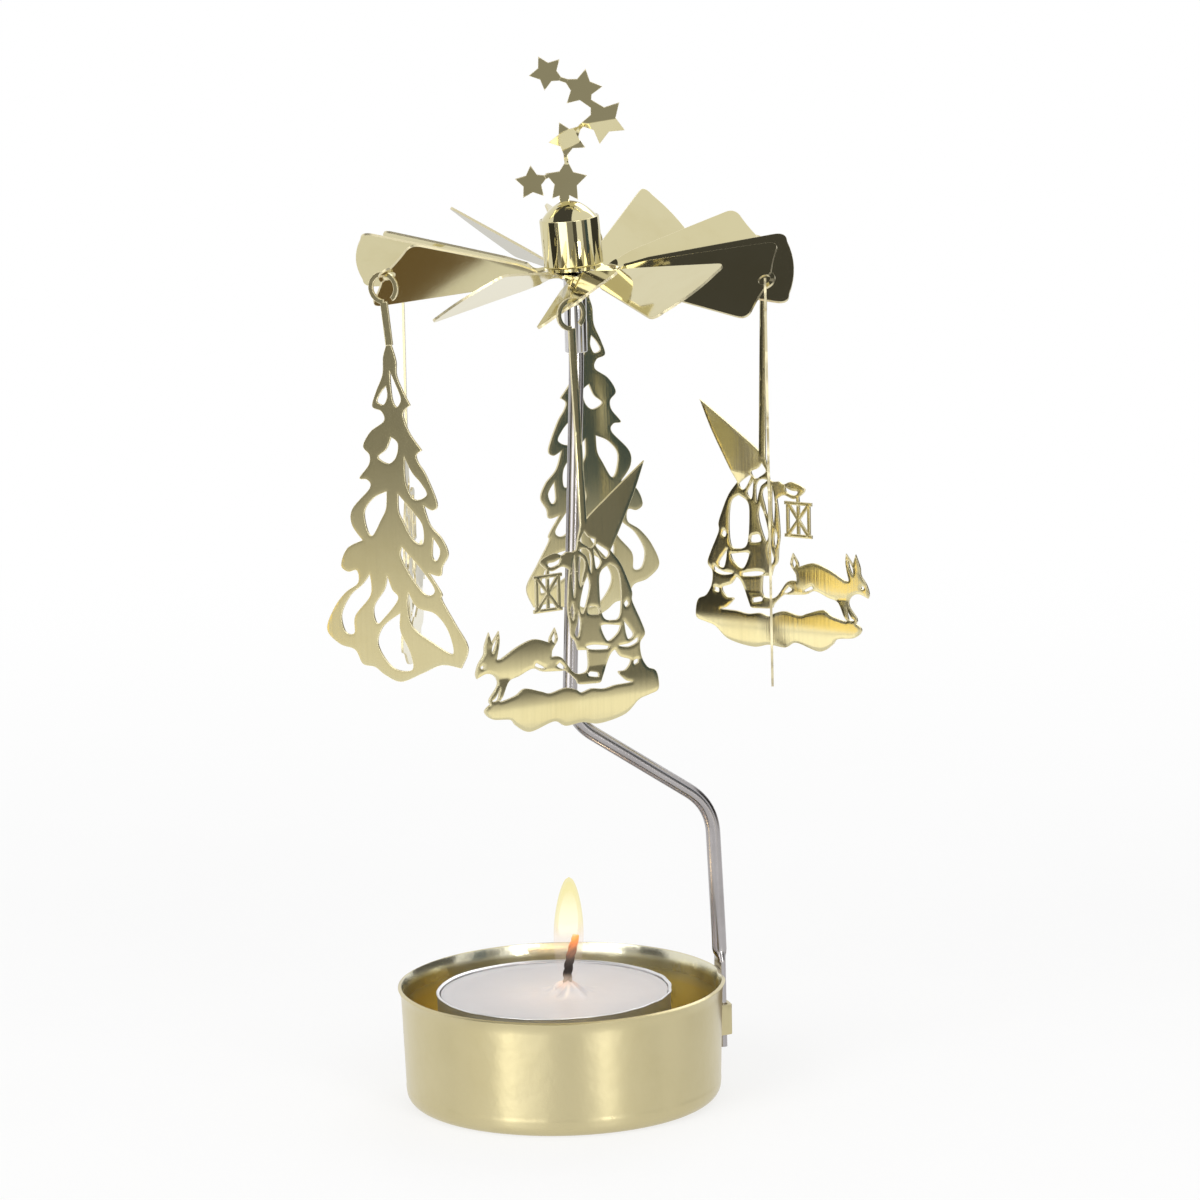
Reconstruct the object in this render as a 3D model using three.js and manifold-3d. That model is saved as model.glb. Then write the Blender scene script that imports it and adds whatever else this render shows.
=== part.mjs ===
// A rotating candle holder: a drawn cup for one tealight, a bent wire stand, and a vaned spinner
// that balances on the wire's point and carries three spruce and three gnome pendants.
// Millimetres, +Z up. The cup stands on z = 0 about the Z axis, and the wire's leg is on +X.

import * as THREE from 'three';
import { mergeVertices } from 'three/addons/utils/BufferGeometryUtils.js';
import Module from 'manifold-3d';

// Clearances
const FIT = 0.15; // play on each side of a piece inside another
const SEAT_GAP = 0.3; // between a piece and the face that it rests on
const PIVOT_GAP = 0.3; // between the wire's point and the dimple above it

// Cup
const CUP_DIAMETER = 53.6;
const CUP_HEIGHT = 19.4;
const CUP_SHEET = 0.6;
const CUP_TAPER = 0.5; // the wall's foot is this much further in than its rim
const CUP_CORNER = 2.2; // outside radius between floor and wall
const RIM_BEAD = 1.4; // thickness of the rim, rolled inward

// Strap lanced out of the cup's wall, which holds the wire's foot
const STRAP_BOTTOM = 8; // its lower edge above the table
const STRAP_HEIGHT = 5.1;
const STRAP_SHEET = 0.6;
const STRAP_CORNER = 0.5;
const LANCE_SLIT = 0.25; // open slit above and below the strap

// Wire stand
const WIRE_DIAMETER = 2.4;
const FOOT_WIDTH = 3.2; // the foot is pressed flat
const FOOT_THICKNESS = 1;
const FOOT_BELOW_STRAP = 2.2;
const FOOT_OVER_RIM = 1.2; // flat part that shows above the cup
const FOOT_BLEND = 1.2; // length over which the flat turns round
const FOOT_SQUARENESS = 0.6; // 1 is oval, smaller is squarer
const FOOT_END_TAPER = 0.6; // size of the foot's end as a part of its section
const LEG_HEIGHT = 46.6; // corner of the lower bend
const LEG_LEAN = 0.9; // of that corner towards the mast
const SLANT_RISE = 16.4; // from the lower to the upper bend
const MAST_LEAN = 2.7; // of the upper bend from the spinner's axis
const MAST_UPRIGHT = 121.5; // height where the leaning mast meets the axis
const BEND_LENGTH = 4.8; // of each bend, on either side of its corner
const POINT_LENGTH = 2.4;
const POINT_DIAMETER = 0.5;

// Spinner
const SPIN_OFFSET = 5.2; // of the wire's point from the cup's centre, towards the leg
const WHEEL_HEIGHT = 136.2; // middle of the wheel's sheet
const SPIN_PHASE = 12; // degrees from +X to the first gnome's vane

// Vane wheel, cut from one sheet
const VANE_SHEET = 0.4;
const VANE_RADIUS = 35.2;
const VANE_HALF_ANGLE = 13.1; // degrees
const VANE_CORNER = 2.2;
// The vanes are bent by hand. Each: pitch with the leading edge raised, lift of the tip and turn about
// the hub, in degrees. The first has a hole for a hook, and so has every other one.
const VANES = [
  [40.5, 3, 0],
  [48, 7.5, 1],
  [39.5, 4, -2],
  [37, 6, -3],
  [41.5, 0.5, -4.5],
  [43, 5.5, 2.5],
  [44.5, 5.5, 2],
  [31, 0.5, 0.5],
  [34, 0.5, 1],
  [34, 1, 1],
  [43, 0.5, 1],
  [38, -0.5, 0],
];
const HUB_DIAMETER = 13.2;
const NECK_WIDTH = 3;
const NECK_LENGTH = 2; // twisted length outside the hub
const NECK_ROOT = 1.1; // length that the neck runs on into the hub and the vane
const NECK_THINNING = 0.06; // the twist draws the sheet a little thinner
const SHOULDER_LENGTH = 3.4; // from the neck's end to the full sector
const HOLE_DIAMETER = 2; // for a pendant's hook
const HOLE_RADIUS_PLACE = 34.4; // from the wheel's centre to the hole
const HOLE_EDGE = 0.75; // sheet left around the hole
const NOSE_SWEEP = 72; // degrees of rounded edge on each side of the hole

// Sleeve that turns on the wire's point
const SLEEVE_DIAMETER = 3.6;
const SLEEVE_WALL = 0.4;
const SLEEVE_BELOW = 13; // under the wheel
const SLEEVE_ABOVE = 5.6; // over the wheel, under the cap
const SLEEVE_CROWN = 0.6; // metal over the dimple
const DIMPLE_DEPTH = 1.2;
const COLLAR_DIAMETER = 5; // swaged collar under the wheel
const COLLAR_HEIGHT = 0.6;

// Cap over the hub
const CAP_DIAMETER = 9.4;
const CAP_SIDE = 7.3; // height of its upright wall
const CAP_SHEET = 0.4;
const CAP_FLANGE = 0.5; // foot flange outside the wall
const CAP_FLANGE_HEIGHT = 0.5;
const DOME_STEP = 0.6; // of the dome inside the wall
const DOME_RISE = 3.2;

// Star topper, one die-cut sheet
const TOPPER_SHEET = 0.4;
const TOPPER_TURN = -28.6; // degrees from the first gnome's vane
const TOPPER_STEM_WIDTH = 1.6;
const TOPPER_STEM_PLACE = -1.3; // sideways from the spinner's axis
const TOPPER_STEM_DEPTH = 3.2; // below the top of the dome
const TOPPER_LINK = 0.8; // width where the points of two stars join
const TOPPER_LINK_ROOT = 0.75; // where the join starts, as a part of the star's radius
const STAR_POINTS = 5;
const STAR_WAIST = 0.54; // inner radius as a part of the outer
// Each star: outer radius, sideways, height over the dome, turn in degrees. Neighbours are linked.
const STARS = [
  [2.8, -6.4, 3.5, 4],
  [3.5, -1, 3.6, -4],
  [3.1, -0.5, 10.3, 26],
  [3.9, 5.1, 13.2, 28],
  [3.3, 1.9, 18.3, -12],
  [2.9, -3.6, 21.1, 27],
];

// Pendants, die-cut sheet
const PENDANT_COUNT = 6;
const PENDANT_SHEET = 0.4;
const PENDANT_TURN = 120; // degrees from its vane to the way that the figure's back points
const RING_INSIDE = 3.7; // inside diameter of the hook
const RING_BAND = 0.75;
const RING_GAP = 40; // degrees left open beside the stem
const RING_CLEARANCE = 0.15; // between the hook's top and the sheet that it hangs on
const STEM_WIDTH = 1.2;

// Spruce pendant
const TREE_HEIGHT = 54.8;
const TREE_STEM = 8.5; // from the hook's centre to the top of the tree
const TREE_STEM_LEAN = 0.7; // sideways over that length

// Gnome pendant
const GNOME_HEIGHT = 40.9; // from the hat's point to the foot of the snow bank
const GNOME_STEM = 32.9; // from the hook's centre to the hat's brim
const GNOME_STEM_LEAN = 1.1;
const LANTERN_WIDTH = 4;
const LANTERN_HEIGHT = 5.4;
const LANTERN_LID = 5.2; // width of its top and bottom plates
const LANTERN_BAR = 0.55;

// Tealight
const TEALIGHT_DIAMETER = 39;
const TEALIGHT_HEIGHT = 17.3;
const SHELL_SHEET = 0.4;
const SHELL_RIM = 0.8; // width of the turned-over rim
const SHELL_CORNER = 1.4;
const WAX_BELOW_RIM = 1.1;
const WAX_MOUND_HEIGHT = 2.6; // around the wick
const WAX_MOUND_RADIUS = 5;
const WICK_DIAMETER = 1.5;
const WICK_SHOWING = 7.4; // above the mound
const WICK_LEAN = 2.2;
const SUSTAINER_DIAMETER = 12;
const SUSTAINER_SHEET = 0.4;
const SUSTAINER_NECK = 3; // height of its tube
const SUSTAINER_TUBE_WALL = 0.35;

// Roundness of the facets
const ROUND_SEGMENTS = 36;
const SMALL_SEGMENTS = 24;
const TURNED_STEPS = 2;
const ARC_STEPS = 4;
const WIRE_SIDES = 12;
const BEND_STEPS = 6;
const NECK_STEPS = 4;
const OUTLINE_FACET = 1.8; // length of a straight step along a drawn curve
const WICK_STEPS = 8;
const WICK_SIDES = 8;
const WELD = 1e-4;

// Drawings of the figures, seen from outside: sideways and up, in millimetres from the hook's
// centre at the heights given above. A row is a smooth curve, and rows meet in corners.
const TREE_ATTACH = [0.7, -8.5];
const TREE_OUTLINE = [
  [[0.5, -8.5], [0.9, -8.5]],
  [[0.9, -8.5], [1.9, -11.5], [2, -13.9], [3.1, -16.4], [4.3, -18.5]],
  [[4.3, -18.5], [3.2, -19.4], [3.1, -20.6], [4.2, -23.1], [6.2, -25.6]],
  [[6.2, -25.6], [5.2, -26.4], [5.6, -27.7], [6.9, -29.6], [8.7, -33.9], [7.9, -35.1], [6.3, -34.4]],
  [[6.3, -34.4], [7.4, -37.5], [9.4, -39.6], [10.4, -42], [9.3, -44.1], [8.9, -45.6], [6.9, -45.3]],
  [[6.9, -45.3], [9, -48.4], [9, -49.5], [11.2, -53.2], [13.3, -57], [12, -60.4]],
  [[12, -60.4], [8.6, -60.1], [5, -61.7], [1.2, -63.3], [-1.6, -62.4], [-3.4, -61.2], [-5.6, -60.8],
    [-6.9, -58.6], [-9.6, -57.8], [-11.8, -55.6], [-10.4, -52], [-8.2, -49.3], [-5.9, -47.6],
    [-6, -45.6], [-7.6, -45.9], [-8.8, -44.9], [-7.6, -42.1], [-4.8, -40.6]],
  [[-4.8, -40.6], [-6.6, -38.2], [-6.4, -35.6], [-3.2, -32.1], [-3.6, -30.8], [-5, -30.6],
    [-3.3, -28.4], [-3.1, -26.8], [-4.2, -25.4], [-2.8, -23], [-0.4, -21.2], [-0.8, -19.7],
    [-2.4, -19], [-1.7, -16.6], [-0.5, -13.8], [-0.3, -10.9], [0.5, -8.5]],
];
const TREE_CUTS = [
  [[0.1, -15.6], [0.3, -17.2], [-0.4, -18.6], [-1.6, -18.2], [-0.9, -16.7]],
  [[0.8, -13.2], [1.9, -15.5], [2.7, -17.6], [1.9, -18.9], [1.2, -17.8], [0.9, -15.4]],
  [[0.8, -23.7], [2, -24.7], [1.6, -26.9], [0.2, -28], [-1.6, -27.1], [-0.1, -25.7]],
  [[3.1, -26.8], [4.4, -29.2], [6, -30.9], [6.9, -32.7], [4.6, -33.5], [3.2, -30.8]],
  [[-0.2, -32.5], [-2.6, -33.7], [-4.3, -36], [-3.8, -39.2], [-2.9, -39.7], [-1.4, -37.2]],
  [[1.8, -32.8], [4.2, -35.3], [6, -37.6], [6, -40.5], [4.3, -40.1], [2.4, -36.9]],
  [[7.8, -39.5], [9, -41.4], [8.4, -43.1], [7.6, -42.6]],
  [[2.2, -41.3], [5.5, -44.7], [7.8, -47.9], [6.4, -48.9], [4.5, -47.2], [2, -43.2]],
  [[-3.7, -46], [-3.7, -49.4], [-6.6, -53], [-6.9, -55.8], [-8.5, -55.8], [-9.1, -53], [-7.4, -49.8]],
  [[-0.6, -46.1], [0.2, -48.3], [1.2, -49.8], [-1.4, -53], [-2.8, -54], [-3.2, -51.4]],
  [[1.5, -52.1], [1.4, -55], [3, -58.4], [3.2, -61.2], [-0.2, -61.1], [-2.7, -57.6], [-1.7, -54.5]],
  [[3.1, -48.6], [4.6, -51], [7.7, -51.8], [9.9, -54.4], [10.6, -58.1], [7.1, -56.6], [3.6, -54.2]],
];
const GNOME_ATTACH = [1.1, -32.9];
const GNOME_OUTLINE = [
  [[0.6, -32.8], [1.7, -32.3]],
  [[1.7, -32.3], [2.9, -31.3], [6.2, -28.8], [12.4, -24.3]],
  [[12.4, -24.3], [10.4, -29.2], [5.9, -37.8]],
  [[5.9, -37.8], [7.7, -40.1], [9.1, -43.2], [9.7, -45.8], [11.2, -49.7], [11.9, -51.8], [11, -53.2],
    [11.2, -55.4], [12.6, -57.4], [14.1, -59.3], [13.6, -61.4], [10.6, -62.2], [7.9, -64.2],
    [3.6, -65.2], [0.1, -64.5], [-2.9, -64.8], [-5.3, -63.9], [-9.4, -64.9], [-12.4, -63],
    [-16.2, -62], [-17.6, -60.7], [-16.5, -59.6]],
  [[-16.5, -59.6], [-16.8, -58.9], [-15.3, -56.8], [-15.5, -55.3], [-17, -54.8], [-18.7, -55.3]],
  [[-18.7, -55.3], [-18.4, -53], [-17.3, -51.4], [-17.2, -50.2], [-16.4, -48.2]],
  [[-16.4, -48.2], [-15.9, -50]],
  [[-15.9, -50], [-14.6, -48.2]],
  [[-14.6, -48.2], [-14.5, -50], [-15.1, -52.6]],
  [[-15.1, -52.6], [-14, -52.5], [-11.3, -51.1], [-8.3, -50.3], [-5.7, -51.1]],
  [[-5.7, -51.1], [-5.6, -50.3], [-4.5, -48.7]],
  [[-4.5, -48.7], [-3.9, -50.6], [-4.6, -51.9], [-5.1, -52.6], [-5.1, -53.5]],
  [[-5.1, -53.5], [-3.4, -53.8], [-1.3, -56.3], [0.4, -56.7], [1.2, -55.6], [1.2, -53.3]],
  [[1.2, -53.3], [-0.4, -53.1]],
  [[-0.4, -53.1], [-1.7, -50.6], [-1.8, -48.4], [-2.1, -46.2], [-1.9, -42.5], [-1.6, -40.1]],
  [[-1.6, -40.1], [-3, -39.5], [-5.3, -40]],
  [[-5.3, -40], [-6.9, -38.6], [-4.3, -37.1], [-2.9, -37.5], [-0.3, -37]],
  [[-0.3, -37], [0, -35.4], [0.6, -32.8]],
];
const GNOME_CUTS = [
  [[6.4, -53.7], [3.9, -57.8], [3.3, -58.6], [1.6, -58.5], [-0.9, -57.8], [-2.6, -56.2], [-6.9, -55.7],
    [-8.8, -55], [-11.2, -55.9], [-13, -56.5], [-14.7, -59.3], [-12, -58.8], [-10.1, -58], [-7.4, -58.8],
    [-5.6, -59.3], [-2.9, -58.9], [0, -59.8], [1.8, -59.4], [4.1, -59.7], [9, -59.4], [6.8, -57.5],
    [9.1, -56], [7.4, -55]],
  [[1.2, -34.3], [0.5, -35.6], [1.4, -36.3], [2.5, -36.9], [3.1, -35.9], [2, -35.3]],
  [[3.5, -36.6], [3.4, -37.2], [4.7, -38.9], [5.4, -38]],
  [[2.9, -37.6], [3.2, -40.2], [4.1, -39.4]],
  [[0.1, -37.1], [1.1, -37], [1.9, -37.4], [2.4, -38.7], [2.3, -40.9], [1.8, -39.2], [0.8, -37.7]],
  [[0.2, -38.1], [0.9, -38.6], [1.1, -39.8], [0.3, -43], [-0.1, -40.5]],
  [[-0.7, -37.9], [-1.2, -40.2], [-1, -44.6], [-0.6, -41.6]],
  [[-1.2, -45.4], [-1.6, -46.5], [-1.2, -48.2], [-0.9, -46.8]],
  [[1.5, -41.4], [0.8, -43], [0.1, -46], [0.6, -47.3], [1.4, -45.2], [1.9, -42.9]],
  [[-0.2, -46.9], [-0.6, -48.8], [-1, -50.2], [-0.3, -51], [0.2, -48.8]],
  [[5.7, -40], [4.1, -40.9], [3.7, -42.9], [4.2, -47.8], [6.1, -48.9], [7.4, -48.2], [7.7, -44.8],
    [7.1, -41.2]],
  [[8.7, -46], [8.2, -46.5], [8.5, -47.2], [9.1, -46.8]],
  [[3.4, -46.5], [1.9, -46.3], [1.6, -47.4], [3.5, -47.7]],
  [[8.1, -49.3], [8.4, -51.2], [8.9, -52.3], [9.8, -51.6]],
  [[7.5, -50], [4.4, -49.6], [3.9, -50.1], [5.1, -52.1], [6.8, -51.2]],
  [[10.6, -52.3], [9, -53], [7.1, -53.2], [9, -53.6], [10.6, -53]],
  [[5.2, -53], [2.6, -52.5], [1.1, -52.6], [2.1, -53.2], [5, -53.5]],
  [[3, -57], [1.7, -56.8], [1.5, -57.4], [3.1, -57.7]],
  [[10.6, -55.7], [9.9, -55.9], [9.9, -56.6], [10.7, -56.3]],
  [[-3.3, -38.1], [-4.4, -38.5], [-5.6, -38.6], [-4.9, -39.2], [-3.6, -38.9]],
  [[-4.6, -49.7], [-4.4, -50.6], [-4.7, -51.3], [-5.1, -50.6]],
  [[-14.9, -49.3], [-15.2, -50.8], [-15.8, -51.7], [-15.7, -50.6]],
  [[-14.7, -57.3], [-15.5, -58.5], [-16.1, -59], [-15.2, -59.1]],
  [[-3.7, -54.5], [-4.3, -55], [-3.4, -55.6], [-2.7, -55.6]],
  [[-8, -54.1], [-8.3, -54.5], [-7, -55.1], [-6.5, -55]],
];
const LANTERN_PLACE = [-5.6, -43.3]; // middle of the lantern in the gnome's drawing
const MITTEN_GRIP = [-5.5, -39.6]; // where the lantern's link leaves the mitten

// Finishes
const GOLD = { color: 0xd6c489, roughness: 0.25, metalness: 1 };
const SATIN_GOLD = { color: 0xd9c894, roughness: 0.38, metalness: 1 };
const STEEL = { color: 0xa9a39d, roughness: 0.3, metalness: 1 };
const BRIGHT_STEEL = { color: 0xc9c7c4, roughness: 0.12, metalness: 1 };
const ALUMINIUM = { color: 0xd5d3d2, roughness: 0.3, metalness: 1 };
const TIN = { color: 0xb9b7b2, roughness: 0.4, metalness: 1 };
const WAX = { color: 0xe9e4ea, roughness: 0.45, metalness: 0 };
const CHARRED_COTTON = { color: 0x2b211b, roughness: 0.9, metalness: 0 };

// Sizes that follow from the ones above
const RIGHT_ANGLE = Math.PI / 2;
const CUP_RADIUS = CUP_DIAMETER / 2;
const CUP_FOOT = CUP_RADIUS - CUP_TAPER;
const LEG_X = CUP_RADIUS + FIT + FOOT_THICKNESS / 2;
const POCKET_DEPTH = FOOT_THICKNESS + 2 * FIT;
const CAP_FOOT = VANE_SHEET / 2 + SEAT_GAP; // over the middle of the wheel's sheet
const DOME_TOP = CAP_FOOT + CAP_SIDE + DOME_RISE;
const DIMPLE_TOP = SLEEVE_ABOVE - SLEEVE_CROWN;
const POINT_HEIGHT = WHEEL_HEIGHT + DIMPLE_TOP - PIVOT_GAP;
const SLEEVE_BORE = SLEEVE_DIAMETER / 2 - SLEEVE_WALL;

const wasm = await Module();
wasm.setup();

// A closed three.js geometry as a solid that can be joined and cut.
function toSolid(geometry) {
  const bare = geometry.clone();
  bare.deleteAttribute('normal');
  bare.deleteAttribute('uv');
  const welded = mergeVertices(bare, WELD);
  const corners = welded.index.array;
  const triangles = [];
  for (let i = 0; i < corners.length; i += 3) {
    const [a, b, c] = corners.slice(i, i + 3);
    if (a !== b && b !== c && c !== a) triangles.push(a, b, c);
  }
  return new wasm.Manifold(new wasm.Mesh({
    numProp: 3,
    vertProperties: new Float32Array(welded.attributes.position.array),
    triVerts: new Uint32Array(triangles),
  }));
}

// A solid back as a geometry.
function toGeometry(solid) {
  const mesh = solid.getMesh();
  const geometry = new THREE.BufferGeometry();
  geometry.setAttribute('position', new THREE.BufferAttribute(mesh.vertProperties, 3));
  geometry.setIndex(new THREE.BufferAttribute(mesh.triVerts, 1));
  geometry.computeVertexNormals();
  return geometry;
}

// All the given geometries joined into one body.
function join(geometries) {
  const solids = geometries.map(toSolid);
  return toGeometry(solids.reduce((whole, next) => whole.add(next)));
}

// A named mesh in its finish.
function mesh(name, geometry, finish) {
  const made = new THREE.Mesh(geometry, new THREE.MeshStandardMaterial(finish));
  made.name = name;
  return made;
}

// A profile of radius and height turned about Z.
function turned(path, segments) {
  const points = path.getPoints(TURNED_STEPS);
  return new THREE.LatheGeometry(points, segments).rotateX(RIGHT_ANGLE);
}

// A flat outline made into sheet, half of it on each side of z = 0.
function sheet(shape, thickness) {
  const settings = { depth: thickness, bevelEnabled: false, curveSegments: ARC_STEPS };
  return new THREE.ExtrudeGeometry(shape, settings).translate(0, 0, -thickness / 2);
}

// Rings of equally many points joined into a closed body.
function loft(rings) {
  const sides = rings[0].length;
  const last = (rings.length - 1) * sides;
  const index = [];
  for (let i = 0; i < last; i += sides) {
    for (let j = 0; j < sides; j += 1) {
      const next = (j + 1) % sides;
      index.push(i + j, i + next, i + sides + next);
      index.push(i + j, i + sides + next, i + sides + j);
    }
  }
  for (let j = 1; j < sides - 1; j += 1) {
    index.push(0, j + 1, j);
    index.push(last, last + j, last + j + 1);
  }
  const geometry = new THREE.BufferGeometry().setFromPoints(rings.flat());
  geometry.setIndex(index);
  geometry.computeVertexNormals();
  return geometry;
}

// The cup's wall, floor and rolled rim.
function cupProfile() {
  const bead = RIM_BEAD / 2;
  const corner = CUP_FOOT - CUP_CORNER;
  const tuck = 2 * Math.PI - Math.acos((bead - CUP_SHEET) / bead);
  const path = new THREE.Path();
  path.moveTo(0, 0);
  path.lineTo(corner, 0);
  path.absarc(corner, CUP_CORNER, CUP_CORNER, -RIGHT_ANGLE, 0, false);
  path.lineTo(CUP_RADIUS, CUP_HEIGHT - bead);
  path.absarc(CUP_RADIUS - bead, CUP_HEIGHT - bead, bead, 0, tuck, false);
  path.lineTo(CUP_FOOT - CUP_SHEET, CUP_CORNER);
  path.absarc(corner, CUP_CORNER, CUP_CORNER - CUP_SHEET, 0, -RIGHT_ANGLE, true);
  path.lineTo(0, CUP_SHEET);
  return path;
}

// A block between two corners.
function block(low, high) {
  const size = new THREE.Vector3().subVectors(high, low);
  const middle = new THREE.Vector3().addVectors(low, high).multiplyScalar(0.5);
  return new THREE.BoxGeometry(size.x, size.y, size.z).translate(middle.x, middle.y, middle.z);
}

// The strap before its pocket is cut.
function strapBlock() {
  const inside = CUP_FOOT - CUP_SHEET / 2;
  const outside = CUP_RADIUS + POCKET_DEPTH + STRAP_SHEET;
  const half = FOOT_WIDTH / 2 + FIT + STRAP_SHEET;
  const shape = new THREE.Shape();
  shape.moveTo(inside, -half);
  shape.lineTo(outside - STRAP_CORNER, -half);
  shape.quadraticCurveTo(outside, -half, outside, STRAP_CORNER - half);
  shape.lineTo(outside, half - STRAP_CORNER);
  shape.quadraticCurveTo(outside, half, outside - STRAP_CORNER, half);
  shape.lineTo(inside, half);
  return sheet(shape, STRAP_HEIGHT).translate(0, 0, STRAP_BOTTOM + STRAP_HEIGHT / 2);
}

function cup() {
  const half = FOOT_WIDTH / 2 + FIT;
  const low = new THREE.Vector3(CUP_FOOT - 2 * CUP_SHEET, -half, STRAP_BOTTOM - LANCE_SLIT);
  const top = STRAP_BOTTOM + STRAP_HEIGHT + LANCE_SLIT;
  const high = new THREE.Vector3(CUP_RADIUS + POCKET_DEPTH, half, top);
  const body = toSolid(turned(cupProfile(), ROUND_SEGMENTS)).add(toSolid(strapBlock()));
  return mesh('cup', toGeometry(body.subtract(toSolid(block(low, high)))), SATIN_GOLD);
}

// The point at a distance from one point towards another.
function towards(from, to, distance) {
  return to.clone().sub(from).setLength(distance).add(from);
}

// The wire's centre line in the XZ plane, from the foot up to the point.
function wirePath() {
  const foot = STRAP_BOTTOM - FOOT_BELOW_STRAP;
  const flatTop = CUP_HEIGHT + FOOT_OVER_RIM;
  const ankle = new THREE.Vector2(LEG_X, flatTop + FOOT_BLEND);
  const lower = new THREE.Vector2(LEG_X - LEG_LEAN, LEG_HEIGHT);
  const upper = new THREE.Vector2(SPIN_OFFSET - MAST_LEAN, LEG_HEIGHT + SLANT_RISE);
  const upright = new THREE.Vector2(SPIN_OFFSET, MAST_UPRIGHT);
  const path = new THREE.Path();
  path.moveTo(LEG_X, foot);
  path.lineTo(LEG_X, foot + FOOT_THICKNESS / 2);
  path.lineTo(LEG_X, flatTop);
  path.lineTo(...ankle);
  path.lineTo(...towards(lower, ankle, BEND_LENGTH));
  path.quadraticCurveTo(...lower, ...towards(lower, upper, BEND_LENGTH));
  path.lineTo(...towards(upper, lower, BEND_LENGTH));
  path.quadraticCurveTo(...upper, ...towards(upper, upright, BEND_LENGTH));
  path.lineTo(...upright);
  path.lineTo(SPIN_OFFSET, POINT_HEIGHT - POINT_LENGTH);
  path.lineTo(SPIN_OFFSET, POINT_HEIGHT);
  return path;
}

// Half sizes of the wire's section in and across the XZ plane, and how square it is.
function wireSection(order, count, height) {
  const round = WIRE_DIAMETER / 2;
  const thin = FOOT_THICKNESS / 2;
  const wide = FOOT_WIDTH / 2;
  if (order === count - 1) return [POINT_DIAMETER / 2, POINT_DIAMETER / 2, 1];
  if (order === 0) return [thin * FOOT_END_TAPER, wide * FOOT_END_TAPER, FOOT_SQUARENESS];
  if (height > CUP_HEIGHT + FOOT_OVER_RIM + FOOT_BLEND / 2) return [round, round, 1];
  return [thin, wide, FOOT_SQUARENESS];
}

function standRod() {
  const points = wirePath().getPoints(BEND_STEPS);
  const rings = points.map((point, order) => {
    const before = points[Math.max(order - 1, 0)];
    const after = points[Math.min(order + 1, points.length - 1)];
    const out = point.clone().sub(before).normalize();
    const tangent = after.clone().sub(point).normalize().add(out).normalize();
    const [half, across, square] = wireSection(order, points.length, point.y);
    const ring = [];
    for (let side = 0; side < WIRE_SIDES; side += 1) {
      const angle = (2 * Math.PI * side) / WIRE_SIDES;
      const c = Math.sign(Math.cos(angle)) * Math.abs(Math.cos(angle)) ** square * half;
      const s = Math.sign(Math.sin(angle)) * Math.abs(Math.sin(angle)) ** square * across;
      ring.push(new THREE.Vector3(point.x + c * tangent.y, s, point.y - c * tangent.x));
    }
    return ring;
  });
  return mesh('stand_rod', loft(rings), STEEL);
}

// Outline of one vane from its neck to its tip, with x along the radius.
function vaneShape(withHole) {
  const neck = HUB_DIAMETER / 2 + NECK_LENGTH;
  const slope = Math.tan(THREE.MathUtils.degToRad(VANE_HALF_ANGLE));
  const shoulder = neck + SHOULDER_LENGTH;
  const tip = VANE_RADIUS * Math.cos(THREE.MathUtils.degToRad(VANE_HALF_ANGLE));
  const shape = new THREE.Shape();
  shape.moveTo(neck, -NECK_WIDTH / 2);
  shape.lineTo(shoulder, -shoulder * slope);
  shape.lineTo(tip - VANE_CORNER, (VANE_CORNER - tip) * slope);
  shape.quadraticCurveTo(tip, -tip * slope, tip, VANE_CORNER - tip * slope);
  if (withHole) {
    noseEdge(shape);
  } else {
    shape.quadraticCurveTo(2 * VANE_RADIUS - tip, 0, tip, tip * slope - VANE_CORNER);
  }
  shape.lineTo(tip, tip * slope - VANE_CORNER);
  shape.quadraticCurveTo(tip, tip * slope, tip - VANE_CORNER, (tip - VANE_CORNER) * slope);
  shape.lineTo(shoulder, shoulder * slope);
  shape.lineTo(neck, NECK_WIDTH / 2);
  return shape;
}

// Rounded tip edge about the hook's hole, and the hole itself.
function noseEdge(shape) {
  const sweep = THREE.MathUtils.degToRad(NOSE_SWEEP);
  const radius = HOLE_DIAMETER / 2 + HOLE_EDGE;
  shape.absarc(HOLE_RADIUS_PLACE, 0, radius, -sweep, sweep, false);
  const hole = new THREE.Path();
  hole.absarc(HOLE_RADIUS_PLACE, 0, HOLE_DIAMETER / 2, 0, 2 * Math.PI, true);
  shape.holes.push(hole);
}

// How a vane is bent out of the hub's plane. The share runs from 0 in the hub to 1 in the vane.
function vaneBend(vane, share) {
  const [pitch, lift, turn] = vane.map((angle) => THREE.MathUtils.degToRad(angle) * share);
  const bend = new THREE.Matrix4().makeRotationZ(turn);
  bend.multiply(new THREE.Matrix4().makeTranslation(HUB_DIAMETER / 2, 0, 0));
  bend.multiply(new THREE.Matrix4().makeRotationY(-lift));
  bend.multiply(new THREE.Matrix4().makeRotationX(pitch));
  return bend.multiply(new THREE.Matrix4().makeTranslation(-HUB_DIAMETER / 2, 0, 0));
}

// The bent neck between the flat hub and a vane.
function neck(vane) {
  const flat = HUB_DIAMETER / 2;
  const end = flat + NECK_LENGTH;
  const half = NECK_WIDTH / 2;
  const thin = (VANE_SHEET - NECK_THINNING) / 2;
  const stations = [flat - NECK_ROOT];
  for (let step = 0; step <= NECK_STEPS; step += 1) {
    stations.push(flat + ((end - flat) * step) / NECK_STEPS);
  }
  stations.push(end + NECK_ROOT);
  const rings = stations.map((x) => {
    const bend = vaneBend(vane, THREE.MathUtils.clamp((x - flat) / (end - flat), 0, 1));
    const corners = [[-half, -thin], [half, -thin], [half, thin], [-half, thin]];
    return corners.map(([y, z]) => new THREE.Vector3(x, y, z).applyMatrix4(bend));
  });
  return loft(rings);
}

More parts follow.
